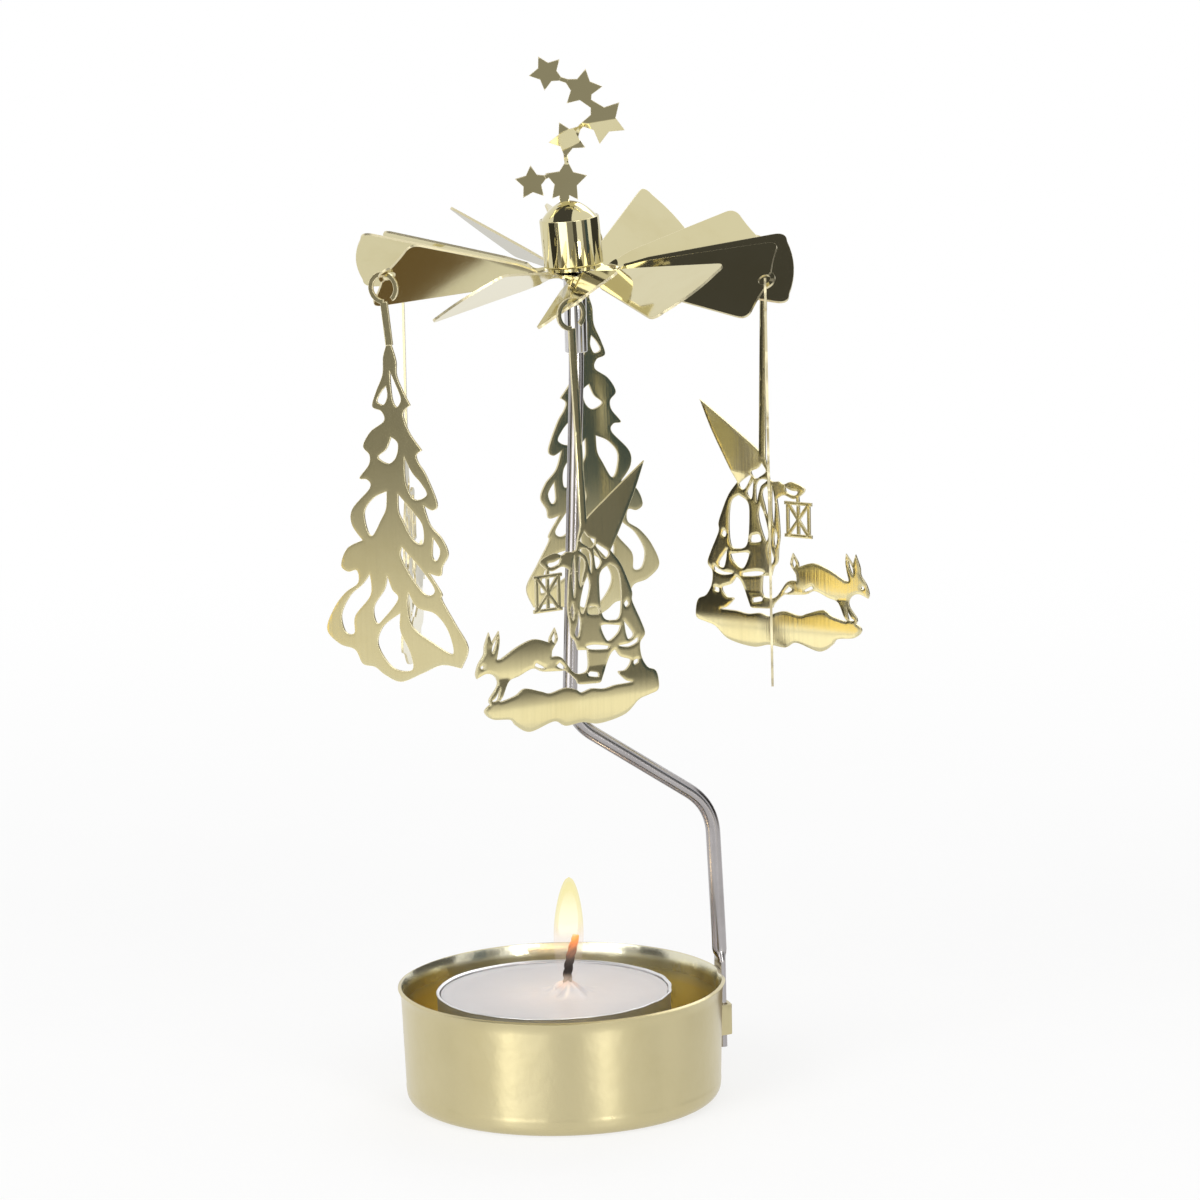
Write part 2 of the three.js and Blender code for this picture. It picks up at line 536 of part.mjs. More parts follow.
// The wheel lies about z = 0 with its first vane on +X.
function vaneWheel() {
  const hub = new THREE.Shape().absarc(0, 0, HUB_DIAMETER / 2, 0, 2 * Math.PI, false);
  const bore = new THREE.Path().absarc(0, 0, SLEEVE_DIAMETER / 2 + FIT, 0, 2 * Math.PI, true);
  hub.holes.push(bore);
  const settings = { depth: VANE_SHEET, bevelEnabled: false, curveSegments: SMALL_SEGMENTS / 2 };
  const disc = new THREE.ExtrudeGeometry(hub, settings).translate(0, 0, -VANE_SHEET / 2);
  const pieces = [disc];
  VANES.forEach((vane, order) => {
    const around = (2 * Math.PI * order) / VANES.length;
    const withHole = order % (VANES.length / PENDANT_COUNT) === 0;
    const flat = sheet(vaneShape(withHole), VANE_SHEET);
    pieces.push(flat.applyMatrix4(vaneBend(vane, 1)).rotateZ(around));
    pieces.push(neck(vane).rotateZ(around));
  });
  return mesh('vane_wheel', join(pieces), GOLD);
}

function pivotSleeve() {
  const outer = SLEEVE_DIAMETER / 2;
  const collar = COLLAR_DIAMETER / 2;
  const collarTop = -VANE_SHEET / 2 - SEAT_GAP;
  const path = new THREE.Path();
  path.moveTo(0, DIMPLE_TOP);
  path.lineTo(SLEEVE_BORE, DIMPLE_TOP - DIMPLE_DEPTH);
  path.lineTo(SLEEVE_BORE, -SLEEVE_BELOW);
  path.lineTo(outer, -SLEEVE_BELOW);
  path.lineTo(outer, collarTop - COLLAR_HEIGHT);
  path.lineTo(collar, collarTop - COLLAR_HEIGHT);
  path.lineTo(collar, collarTop);
  path.lineTo(outer, collarTop);
  path.lineTo(outer, SLEEVE_ABOVE);
  path.lineTo(0, SLEEVE_ABOVE);
  return mesh('pivot_sleeve', turned(path, SMALL_SEGMENTS), BRIGHT_STEEL);
}

// The cap's shell, open below, with its foot on z = 0.
function capProfile() {
  const outer = CAP_DIAMETER / 2;
  const inner = outer - CAP_SHEET;
  const dome = outer - DOME_STEP;
  const path = new THREE.Path();
  path.moveTo(inner, 0);
  path.lineTo(outer + CAP_FLANGE, 0);
  path.lineTo(outer + CAP_FLANGE, CAP_FLANGE_HEIGHT);
  path.lineTo(outer, CAP_FLANGE_HEIGHT);
  path.lineTo(outer, CAP_SIDE - DOME_STEP);
  path.quadraticCurveTo(outer, CAP_SIDE, dome, CAP_SIDE);
  path.absellipse(0, CAP_SIDE, dome, DOME_RISE, 0, RIGHT_ANGLE, false, 0);
  path.lineTo(0, CAP_SIDE + DOME_RISE - CAP_SHEET);
  path.absellipse(0, CAP_SIDE, dome - CAP_SHEET, DOME_RISE - CAP_SHEET, RIGHT_ANGLE, 0, true, 0);
  path.lineTo(inner, CAP_SIDE - DOME_STEP - CAP_SHEET);
  path.lineTo(inner, 0);
  return path;
}

function spinnerCap() {
  const half = TOPPER_STEM_WIDTH / 2 + FIT;
  const thick = TOPPER_SHEET / 2 + FIT;
  const low = new THREE.Vector3(TOPPER_STEM_PLACE - half, -thick, CAP_SIDE);
  const high = new THREE.Vector3(TOPPER_STEM_PLACE + half, thick, CAP_SIDE + 2 * DOME_RISE);
  const slot = block(low, high).rotateZ(THREE.MathUtils.degToRad(TOPPER_TURN));
  const shell = toSolid(turned(capProfile(), SMALL_SEGMENTS));
  const cap = mesh('spinner_cap', toGeometry(shell.subtract(toSolid(slot))), GOLD);
  cap.position.z = CAP_FOOT;
  return cap;
}

// A straight bar of sheet from one point to another.
function bar(from, to, width) {
  const side = to.clone().sub(from).setLength(width / 2);
  const shape = new THREE.Shape();
  shape.moveTo(from.x + side.y, from.y - side.x);
  shape.lineTo(to.x + side.y, to.y - side.x);
  shape.lineTo(to.x - side.y, to.y + side.x);
  shape.lineTo(from.x - side.y, from.y + side.x);
  return shape;
}

// A place on a star, counted in half points from the first one, at a part of its radius.
function onStar([radius, x, y, turn], order, part) {
  const angle = RIGHT_ANGLE + THREE.MathUtils.degToRad(turn) + (Math.PI * order) / STAR_POINTS;
  const reach = radius * part;
  return new THREE.Vector2(x + reach * Math.cos(angle), y + reach * Math.sin(angle));
}

function starShape(star) {
  const corners = [];
  for (let order = 0; order < 2 * STAR_POINTS; order += 1) {
    corners.push(onStar(star, order, order % 2 === 0 ? 1 : STAR_WAIST));
  }
  return new THREE.Shape(corners);
}

// The short join between the nearest points of two stars.
function starLink(one, other) {
  let best = null;
  for (let a = 0; a < 2 * STAR_POINTS; a += 2) {
    for (let b = 0; b < 2 * STAR_POINTS; b += 2) {
      const gap = onStar(one, a, 1).distanceTo(onStar(other, b, 1));
      if (best === null || gap < best.gap) best = { a, b, gap };
    }
  }
  const from = onStar(one, best.a, TOPPER_LINK_ROOT);
  return bar(from, onStar(other, best.b, TOPPER_LINK_ROOT), TOPPER_LINK);
}

function starTopper() {
  const shapes = STARS.map(starShape);
  for (let order = 1; order < STARS.length; order += 1) {
    shapes.push(starLink(STARS[order - 1], STARS[order]));
  }
  const foot = new THREE.Vector2(TOPPER_STEM_PLACE, -TOPPER_STEM_DEPTH);
  const head = new THREE.Vector2(TOPPER_STEM_PLACE, onStar(STARS[1], 0, 0).y);
  shapes.push(bar(foot, head, TOPPER_STEM_WIDTH));
  const flat = join(shapes.map((shape) => sheet(shape, TOPPER_SHEET)));
  const topper = mesh('star_topper', flat.rotateX(RIGHT_ANGLE), GOLD);
  topper.position.z = DOME_TOP;
  topper.rotation.z = THREE.MathUtils.degToRad(TOPPER_TURN);
  return topper;
}

// The points of a drawn loop: rows are smooth curves that meet in corners.
function smoothLoop(rows) {
  const loop = [];
  for (const row of rows) {
    const curve = new THREE.SplineCurve(row.map(([x, y]) => new THREE.Vector2(x, y)));
    const steps = Math.max(row.length - 1, Math.round(curve.getLength() / OUTLINE_FACET));
    loop.push(...curve.getPoints(steps).slice(0, -1));
  }
  return loop;
}

// A figure's outline and its cuts, scaled to a height and moved so that it hangs on its stem.
function figureShape(drawing) {
  const outer = smoothLoop(drawing.outline);
  if (THREE.ShapeUtils.isClockWise(outer)) outer.reverse();
  const box = new THREE.Box2().setFromPoints(outer);
  const scale = drawing.height / (box.max.y - box.min.y);
  const attach = new THREE.Vector2(...drawing.attach);
  const hang = (point) => point.clone().sub(attach).multiplyScalar(scale).add(drawing.stemEnd);
  const shape = new THREE.Shape(outer.map(hang));
  for (const cut of drawing.cuts) {
    shape.holes.push(new THREE.Path(smoothLoop([[...cut, cut[0]]]).map(hang)));
  }
  return { shape, hang };
}

// The open hook ring and the stem down to the figure.
function hookShapes(stemEnd) {
  const inner = RING_INSIDE / 2;
  const outer = inner + RING_BAND;
  const start = -RIGHT_ANGLE;
  const end = start - 2 * Math.PI + THREE.MathUtils.degToRad(RING_GAP);
  const ring = new THREE.Shape();
  ring.absarc(0, 0, outer, start, end, true);
  ring.absarc(0, 0, inner, end, start, false);
  const top = new THREE.Vector2(0, -inner - RING_BAND / 2);
  const overlap = stemEnd.clone().sub(top).setLength(STEM_WIDTH / 2);
  return [ring, bar(top, stemEnd.clone().add(overlap), STEM_WIDTH)];
}

// The lantern's plates, uprights and rays, about its own middle.
function lanternBars() {
  const half = new THREE.Vector2(LANTERN_WIDTH / 2, LANTERN_HEIGHT / 2);
  const lid = LANTERN_LID / 2;
  const lines = [[[-lid, half.y], [lid, half.y]], [[-lid, -half.y], [lid, -half.y]]];
  for (const side of [-1, 1]) {
    lines.push([[side * half.x, -half.y], [side * half.x, half.y]]);
    lines.push([[-half.x, -side * half.y], [half.x, side * half.y]]);
  }
  lines.push([[0, -half.y], [0, half.y]]);
  return lines.map(([a, b]) => [new THREE.Vector2(...a), new THREE.Vector2(...b)]);
}

function treeGeometry() {
  const stemEnd = new THREE.Vector2(TREE_STEM_LEAN, -TREE_STEM);
  const drawing = { outline: TREE_OUTLINE, cuts: TREE_CUTS, attach: TREE_ATTACH };
  const { shape } = figureShape({ ...drawing, height: TREE_HEIGHT, stemEnd });
  return join([shape, ...hookShapes(stemEnd)].map((flat) => sheet(flat, PENDANT_SHEET)));
}

function gnomeGeometry() {
  const stemEnd = new THREE.Vector2(GNOME_STEM_LEAN, -GNOME_STEM);
  const drawing = { outline: GNOME_OUTLINE, cuts: GNOME_CUTS, attach: GNOME_ATTACH };
  const { shape, hang } = figureShape({ ...drawing, height: GNOME_HEIGHT, stemEnd });
  const middle = hang(new THREE.Vector2(...LANTERN_PLACE));
  const grip = hang(new THREE.Vector2(...MITTEN_GRIP));
  const shapes = [shape, ...hookShapes(stemEnd)];
  for (const [from, to] of lanternBars()) {
    shapes.push(bar(from.add(middle), to.add(middle), LANTERN_BAR));
  }
  shapes.push(bar(new THREE.Vector2(middle.x, middle.y + LANTERN_HEIGHT / 2), grip, LANTERN_BAR));
  return join(shapes.map((flat) => sheet(flat, PENDANT_SHEET)));
}

// Where a hook's centre hangs, from the middle of the wheel with its vane on +X. In the plane of the
// hook the vane's sheet is a slanting line, and the hook's top clears the strip beside the hole.
function hookCentre(vane, turn) {
  const bend = vaneBend(vane, 1);
  const normal = new THREE.Vector3(0, 0, 1).transformDirection(bend);
  const along = new THREE.Vector3(Math.cos(turn), Math.sin(turn), 0);
  const slope = -normal.dot(along) / normal.z;
  const length = Math.hypot(1, slope);
  const strip = HOLE_EDGE / length;
  const back = -(HOLE_DIAMETER / 2) / length - strip / 2;
  const rise = slope * (strip / 2) + VANE_SHEET / 2 / normal.z + RING_CLEARANCE;
  const inner = RING_INSIDE / 2;
  const sag = inner - Math.sqrt(inner ** 2 - (strip / 2) ** 2);
  const centre = new THREE.Vector3(HOLE_RADIUS_PLACE, 0, 0).applyMatrix4(bend);
  centre.addScaledVector(along, back);
  centre.z += back * slope + rise + sag - inner;
  return centre;
}

// One pendant on its vane: the drawing stands upright, turned away from the vane.
function hungPendant(name, geometry, order) {
  const vane = VANES[(order * VANES.length) / PENDANT_COUNT];
  const turn = THREE.MathUtils.degToRad(PENDANT_TURN + vane[2]);
  const figure = mesh(name, geometry, GOLD);
  figure.rotation.x = RIGHT_ANGLE;
  const hook = new THREE.Group().add(figure);
  hook.position.copy(hookCentre(vane, turn));
  hook.rotation.z = turn;
  const around = new THREE.Group().add(hook);
  around.rotation.z = (2 * Math.PI * order) / PENDANT_COUNT;
  return around;
}

function spinner() {
  const group = new THREE.Group();
  group.add(vaneWheel(), pivotSleeve(), spinnerCap(), starTopper());
  const figures = [['gnome_pendant', gnomeGeometry()], ['tree_pendant', treeGeometry()]];
  for (let order = 0; order < PENDANT_COUNT; order += 1) {
    const [kind, geometry] = figures[order % figures.length];
    const number = Math.floor(order / figures.length) + 1;
    group.add(hungPendant(`${kind}_${number}`, geometry, order));
  }
  group.position.set(SPIN_OFFSET, 0, WHEEL_HEIGHT);
  group.rotation.z = THREE.MathUtils.degToRad(SPIN_PHASE);
  return group;
}

// The tealight stands on z = 0 in its own group.
function tealightShell() {
  const outer = TEALIGHT_DIAMETER / 2 - SHELL_RIM / 2;
  const inner = outer - SHELL_SHEET;
  const corner = outer - SHELL_CORNER;
  const rim = SHELL_RIM / 2;
  const path = new THREE.Path();
  path.moveTo(0, 0);
  path.lineTo(corner, 0);
  path.absarc(corner, SHELL_CORNER, SHELL_CORNER, -RIGHT_ANGLE, 0, false);
  path.lineTo(outer, TEALIGHT_HEIGHT - SHELL_RIM);
  path.absarc(outer, TEALIGHT_HEIGHT - rim, rim, -RIGHT_ANGLE, RIGHT_ANGLE, false);
  path.lineTo(inner, TEALIGHT_HEIGHT);
  path.lineTo(inner, SHELL_CORNER);
  path.absarc(corner, SHELL_CORNER, SHELL_CORNER - SHELL_SHEET, 0, -RIGHT_ANGLE, true);
  path.lineTo(0, SHELL_SHEET);
  return mesh('tealight_shell', turned(path, ROUND_SEGMENTS), ALUMINIUM);
}

const WAX_TOP = TEALIGHT_HEIGHT - WAX_BELOW_RIM;
const WAX_FOOT = SHELL_SHEET + SEAT_GAP;
const WICK_TUBE = WICK_DIAMETER / 2 + FIT + SUSTAINER_TUBE_WALL;

// Wax with a mound about the wick, a bore for it and a recess below for the sustainer.
function tealightWax() {
  const outer = TEALIGHT_DIAMETER / 2 - SHELL_RIM / 2 - SHELL_SHEET - FIT;
  const bore = WICK_DIAMETER / 2 + FIT;
  const recess = SUSTAINER_DIAMETER / 2 + FIT;
  const recessTop = WAX_FOOT + SUSTAINER_SHEET + FIT;
  const tubeTop = WAX_FOOT + SUSTAINER_SHEET + SUSTAINER_NECK + FIT;
  const path = new THREE.Path();
  path.moveTo(recess, WAX_FOOT);
  path.lineTo(outer - SHELL_CORNER, WAX_FOOT);
  path.lineTo(outer, WAX_FOOT + SHELL_CORNER);
  path.lineTo(outer, WAX_TOP);
  path.lineTo(WAX_MOUND_RADIUS, WAX_TOP);
  path.quadraticCurveTo(WAX_MOUND_RADIUS / 2, WAX_TOP, bore, WAX_TOP + WAX_MOUND_HEIGHT);
  path.lineTo(bore, tubeTop);
  path.lineTo(WICK_TUBE + FIT, tubeTop);
  path.lineTo(WICK_TUBE + FIT, recessTop);
  path.lineTo(recess, recessTop);
  path.lineTo(recess, WAX_FOOT);
  return mesh('tealight_wax', turned(path, ROUND_SEGMENTS), WAX);
}

// Tin disc with a short tube that keeps the wick upright in the wax.
function wickSustainer() {
  const bore = WICK_DIAMETER / 2 + FIT;
  const top = WAX_FOOT + SUSTAINER_SHEET + SUSTAINER_NECK;
  const path = new THREE.Path();
  path.moveTo(bore, WAX_FOOT);
  path.lineTo(SUSTAINER_DIAMETER / 2, WAX_FOOT);
  path.lineTo(SUSTAINER_DIAMETER / 2, WAX_FOOT + SUSTAINER_SHEET);
  path.lineTo(WICK_TUBE, WAX_FOOT + SUSTAINER_SHEET);
  path.lineTo(WICK_TUBE, top);
  path.lineTo(bore, top);
  path.lineTo(bore, WAX_FOOT);
  return mesh('wick_sustainer', turned(path, SMALL_SEGMENTS), TIN);
}

// The wick stands in the wax and leans over above the mound.
function wick() {
  const mound = WAX_TOP + WAX_MOUND_HEIGHT;
  const top = mound + WICK_SHOWING;
  const bend = new THREE.QuadraticBezierCurve3(
    new THREE.Vector3(0, 0, mound),
    new THREE.Vector3(0, 0, mound + WICK_SHOWING / 2),
    new THREE.Vector3(WICK_LEAN, 0, top),
  );
  const route = new THREE.CatmullRomCurve3([
    new THREE.Vector3(0, 0, WAX_FOOT),
    new THREE.Vector3(0, 0, (WAX_FOOT + mound) / 2),
    ...bend.getPoints(WICK_STEPS / 2),
  ]);
  const section = new THREE.Shape();
  for (let side = 0; side < WICK_SIDES; side += 1) {
    const angle = (2 * Math.PI * side) / WICK_SIDES;
    const corner = [Math.cos(angle) * (WICK_DIAMETER / 2), Math.sin(angle) * (WICK_DIAMETER / 2)];
    if (side === 0) section.moveTo(...corner);
    else section.lineTo(...corner);
  }
  const settings = { steps: WICK_STEPS, extrudePath: route, bevelEnabled: false };
  return mesh('wick', new THREE.ExtrudeGeometry(section, settings), CHARRED_COTTON);
}

function tealight() {
  const group = new THREE.Group();
  group.add(tealightShell(), tealightWax(), wickSustainer(), wick());
  group.position.z = CUP_SHEET + SEAT_GAP;
  return group;
}

const holder = new THREE.Group();
holder.add(cup(), standRod(), spinner(), tealight());

export default holder;
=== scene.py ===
"""Looks of a rotating candle holder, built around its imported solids.

Sizes are in millimetres, in the frame of the solids: the cup stands on z = 0 about the Z axis, and
the wire's leg is on +X. Meshes are made in metres.
"""

from __future__ import annotations

import logging
import math
from dataclasses import dataclass, field
from enum import Enum
from functools import cached_property
from itertools import product
from typing import Callable, Sequence

import bpy
import numpy as np
from mathutils import Matrix, Vector
from mathutils.geometry import delaunay_2d_cdt


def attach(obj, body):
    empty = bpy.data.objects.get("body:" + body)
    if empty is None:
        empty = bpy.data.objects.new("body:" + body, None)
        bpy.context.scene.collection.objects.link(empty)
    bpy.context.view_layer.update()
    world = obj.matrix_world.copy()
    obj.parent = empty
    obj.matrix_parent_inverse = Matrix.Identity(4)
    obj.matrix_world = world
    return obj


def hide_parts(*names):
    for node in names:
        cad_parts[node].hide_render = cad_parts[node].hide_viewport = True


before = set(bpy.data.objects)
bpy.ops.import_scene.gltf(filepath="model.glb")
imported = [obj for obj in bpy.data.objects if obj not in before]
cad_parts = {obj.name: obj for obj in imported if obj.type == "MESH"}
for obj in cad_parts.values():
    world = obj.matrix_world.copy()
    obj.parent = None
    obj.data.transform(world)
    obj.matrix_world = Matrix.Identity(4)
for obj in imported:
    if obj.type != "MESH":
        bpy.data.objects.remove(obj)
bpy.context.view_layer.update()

LOG = logging.getLogger("candle_holder")
MM = 0.001
Colour = tuple[float, float, float, float]
Points = Sequence[Sequence[float]]
Spot = tuple[float, float]
CRISP = 38.0  # degrees from which an edge of cut sheet is shaded sharp


def tint(red: float, green: float, blue: float) -> Colour:
    """An opaque colour from linear parts."""
    return (red, green, blue, 1.0)


class Term:
    """A socket that takes part in Python arithmetic: each operation adds a Math node."""

    def __init__(self, graph: Graph, socket: bpy.types.NodeSocket) -> None:
        """Keeps the graph and the socket."""
        self.graph = graph
        self.socket = socket

    def _math(self, operation: str, *values: Value) -> Term:
        """A Math node on the given values."""
        return self.graph.node("ShaderNodeMath", {"operation": operation}, dict(enumerate(values)))

    def __add__(self, other: Value) -> Term:
        """self + other."""
        return self._math("ADD", self, other)

    __radd__ = __add__

    def __sub__(self, other: Value) -> Term:
        """self - other."""
        return self._math("SUBTRACT", self, other)

    def __rsub__(self, other: Value) -> Term:
        """other - self."""
        return self._math("SUBTRACT", other, self)

    def __mul__(self, other: Value) -> Term:
        """self * other."""
        return self._math("MULTIPLY", self, other)

    __rmul__ = __mul__

    def __truediv__(self, other: Value) -> Term:
        """self / other."""
        return self._math("DIVIDE", self, other)

    def __pow__(self, other: Value) -> Term:
        """self to the power of other."""
        return self._math("POWER", self, other)

    def __mod__(self, other: Value) -> Term:
        """The rest of self over other, never negative."""
        return self._math("FLOORED_MODULO", self, other)

    def low(self, other: Value) -> Term:
        """The smaller of two values."""
        return self._math("MINIMUM", self, other)

    def high(self, other: Value) -> Term:
        """The larger of two values."""
        return self._math("MAXIMUM", self, other)

    def sine(self) -> Term:
        """The sine of an angle in radians."""
        return self._math("SINE", self)

    def cosine(self) -> Term:
        """The cosine of an angle in radians."""
        return self._math("COSINE", self)

    def step(self, start: float, end: float) -> Term:
        """A smooth step from 0 at start to 1 at end."""
        inputs = {"Value": self, "From Min": start, "From Max": end}
        return self.graph.node("ShaderNodeMapRange", {"interpolation_type": "SMOOTHSTEP"}, inputs)


Value = Term | float | int | bool | str | tuple


class Graph:
    """A node tree that is written as expressions."""

    def __init__(self, tree: bpy.types.NodeTree) -> None:
        """Starts from an empty tree."""
        self.tree = tree
        tree.nodes.clear()

    def feed(self, socket: bpy.types.NodeSocket, value: Value) -> None:
        """Links a term to a socket, or sets the socket's own value.

        Args:
            socket: The input.
            value: What goes into it.
        """
        if isinstance(value, Term):
            self.tree.links.new(value.socket, socket)
        else:
            socket.default_value = value

    def node(self, kind: str, settings: dict | None = None, inputs: dict | None = None,
             output: int | str = 0) -> Term:
        """Adds a node.

        Args:
            kind: The node's type.
            settings: Its own settings, set first. "stops" are a ramp's places and colours.
            inputs: Values or terms by socket name or number.
            output: The output that the term stands for, or the input of a node that ends a tree.

        Returns:
            The term of that socket.
        """
        made = self.tree.nodes.new(kind)
        for key, value in (settings or {}).items():
            if key == "stops":
                self._stops(made.color_ramp, value)
            else:
                setattr(made, key, value)
        for key, value in (inputs or {}).items():
            self.feed(made.inputs[key], value)
        return Term(self, (made.outputs or made.inputs)[output])

    @staticmethod
    def _stops(ramp: bpy.types.ColorRamp, stops: Sequence[tuple[float, Colour]]) -> None:
        """Sets a ramp's stops.

        Args:
            ramp: The ramp.
            stops: Places and colours.
        """
        while len(ramp.elements) < len(stops):
            ramp.elements.new(1.0)
        for element, (place, colour) in zip(ramp.elements, stops):
            element.position = place
            element.color = colour

    def split(self, vector: Term) -> tuple[Term, Term, Term]:
        """The three parts of a vector.

        Args:
            vector: The vector.

        Returns:
            Its x, y and z.
        """
        first = self.node("ShaderNodeSeparateXYZ", inputs={0: vector})
        outputs = first.socket.node.outputs
        return first, Term(self, outputs[1]), Term(self, outputs[2])

    def vector(self, x: Value, y: Value, z: Value) -> Term:
        """A vector from three parts."""
        return self.node("ShaderNodeCombineXYZ", inputs={0: x, 1: y, 2: z})

    def mix(self, share: Value, first: Value, second: Value) -> Term:
        """A blend of two colours."""
        inputs = {0: share, 6: first, 7: second}
        return self.node("ShaderNodeMix", {"data_type": "RGBA"}, inputs, output=2)


class Shader(Graph):
    """A material's node tree."""

    def __init__(self, name: str) -> None:
        """Makes the material.

        Args:
            name: The material's name.
        """
        self.material = bpy.data.materials.new(name)
        self.material.use_nodes = True
        super().__init__(self.material.node_tree)

    def place(self) -> Term:
        """Object coordinates in metres."""
        return self.node("ShaderNodeTexCoord", output="Object")

    def noise(self, vector: Term, scale: float, detail: float = 3.0, rough: float = 0.55) -> Term:
        """Noise about one half."""
        inputs = {"Vector": vector, "Scale": scale, "Detail": detail, "Roughness": rough}
        return self.node("ShaderNodeTexNoise", inputs=inputs)

    def mark(self, name: str) -> Term:
        """The values that the mesh keeps under a name."""
        return self.node("ShaderNodeAttribute", {"attribute_name": name}, output="Fac")

    def bump(self, height: Term, strength: float, distance: float) -> Term:
        """A normal from a height."""
        inputs = {"Strength": strength, "Distance": distance, "Height": height}
        return self.node("ShaderNodeBump", inputs=inputs)

    def surface(self, **inputs: Value) -> bpy.types.Material:
        """Ends the tree in a Principled shader with these sockets, by name with _ for a space."""
        named = {key.replace("_", " "): value for key, value in inputs.items()}
        return self.end(self.node("ShaderNodeBsdfPrincipled", inputs=named))

    def end(self, surface: Term) -> bpy.types.Material:
        """Ends the tree in a surface."""
        self.node("ShaderNodeOutputMaterial", inputs={"Surface": surface})
        return self.material


@dataclass(frozen=True)
class Layout:
    """Places that several pieces share."""

    cup_radius: float = 26.8
    cup_height: float = 19.4
    leg_x: float = 27.45
    spin_x: float = 5.2
    wheel_z: float = 136.2
    phase: float = 12.0
    topper_turn: float = -28.6
    point_z: float = 140.9
    pendants: int = 6

    def spinner(self) -> Matrix:
        """The spinner's place, with the first gnome's vane on its x."""
        turn = Matrix.Rotation(math.radians(self.phase), 4, "Z")
        return Matrix.Translation((self.spin_x, 0, self.wheel_z)) @ turn


LAYOUT = Layout()


class Grain(Enum):
    """The way that the fine lines of a worked metal run."""

    UPRIGHT = "upright"
    AROUND = "around"
    SHEET = "sheet"


@dataclass(frozen=True)
class Metal:
    """A worked metal with grain, patches and brighter cut edges, and painted light where a mesh marks its
    inside.

    Attributes:
        name: The material's name.
        colour: Its clean colour.
        shade: Its colour where it is handled or tarnished.
        roughness: Mean roughness.
        spread: How far the roughness varies.
        grain: The way that its fine lines run.
        pitch: Fine lines for each millimetre.
        depth: Strength of the lines.
        axis: The x of the upright axis that lines run around.
        cut: Colour of the cut edges, where the mesh has an edge attribute.
        coat: Weight of a clear lacquer.
        inner: Painted bounce light: a lighter, warmer colour where the mesh has an inner attribute.
        rim_polish_and_painted_highlight: Painted highlight: a paler colour where it has a rim attribute.
        polish: How much smoother it is there.
        stretch: How far highlights are drawn out across the grain.
        dents: Height of soft dents, in millimetres.
        streaks: How far the fine lines darken it.
        along: How much longer than wide the fine lines are.
        dark: Share of the shade's brightness that is left in a fine line.
    """

    name: str
    colour: Colour
    shade: Colour
    roughness: float
    spread: float
    grain: Grain
    pitch: float = 6.0
    depth: float = 0.05
    axis: float = 0.0
    cut: Colour | None = None
    coat: float = 0.0
    inner: Colour | None = None
    stretch: float = 0.0
    dents: float = 0.0
    streaks: float = 0.0
    rim_polish_and_painted_highlight: Colour = tint(0.74, 0.71, 0.55)
    polish: float = 0.13
    along: float = 60.0
    dark: float = 0.6

    def _lines(self, shader: Shader) -> Term:
        """Coordinates that are stretched along the grain.

        Args:
            shader: The material's tree.

        Returns:
            Coordinates for a noise of scale 1.
        """
        fine, long = self.pitch / MM, self.pitch / MM / self.along
        if self.grain is Grain.SHEET:
            across, along, _ = shader.split(shader.node("ShaderNodeUVMap", {"uv_map": "sheet"}, output="UV"))
            return shader.vector(across * self.pitch, along * (self.pitch / self.along), 0.0)
        x, y, z = shader.split(shader.place())
        if self.grain is Grain.UPRIGHT:
            return shader.vector(x * fine, y * fine, z * long)
        offset = x - self.axis * MM
        reach = (offset * offset + y * y) ** 0.5
        return shader.vector(reach * fine, 0.0, z * fine)

    def material(self) -> bpy.types.Material:
        """Builds the material.

        Returns:
            The material.
        """
        shader = Shader(self.name)
        place = shader.place()
        lines = shader.noise(self._lines(shader), 1.0, 4.0, 0.6)
        patches = shader.noise(place, 90.0, 4.0, 0.6)
        smears = shader.noise(place, 420.0, 2.0, 0.5)
        worn = patches.step(0.42, 0.72)
        dark = tint(*(part * self.dark for part in self.shade[:3]))
        colour = shader.mix(worn, self.colour, self.shade)
        colour = shader.mix(lines.step(0.4, 0.75) * self.streaks, colour, dark)
        rough = self.roughness + (lines - 0.5) * self.spread + (patches - 0.5) * self.spread * 0.8
        rough = rough + (smears - 0.5) * (self.spread * 0.5)
        if self.cut is not None:
            near = 1.0 - shader.mark("edge").step(0.02, 0.10)
            colour = shader.mix(near * 0.6, colour, self.cut)
            rough = rough + near * 0.3
        # Painted light: the cup's inside gets a lighter, warmer colour that stands in for light bouncing
        # about in it. The smooth rim inside gets a paler painted highlight, and it is also really smoother.
        if self.inner is not None:
            inside, rim_polish_and_painted_highlight = shader.mark("inner"), shader.mark("rim")
            colour = shader.mix(rim_polish_and_painted_highlight, shader.mix(inside, colour, self.inner), self.rim_polish_and_painted_highlight)
            rough = rough - rim_polish_and_painted_highlight * self.polish
        return shader.surface(
            Base_Color=colour, Metallic=1.0, Roughness=rough.high(0.03).low(0.9), Coat_Weight=self.coat,
            Coat_Roughness=0.15, Anisotropic=self.stretch, Anisotropic_Rotation=0.25,
            Normal=shader.bump(lines * (self.depth * 0.02) + patches * self.dents, 1.0, MM))


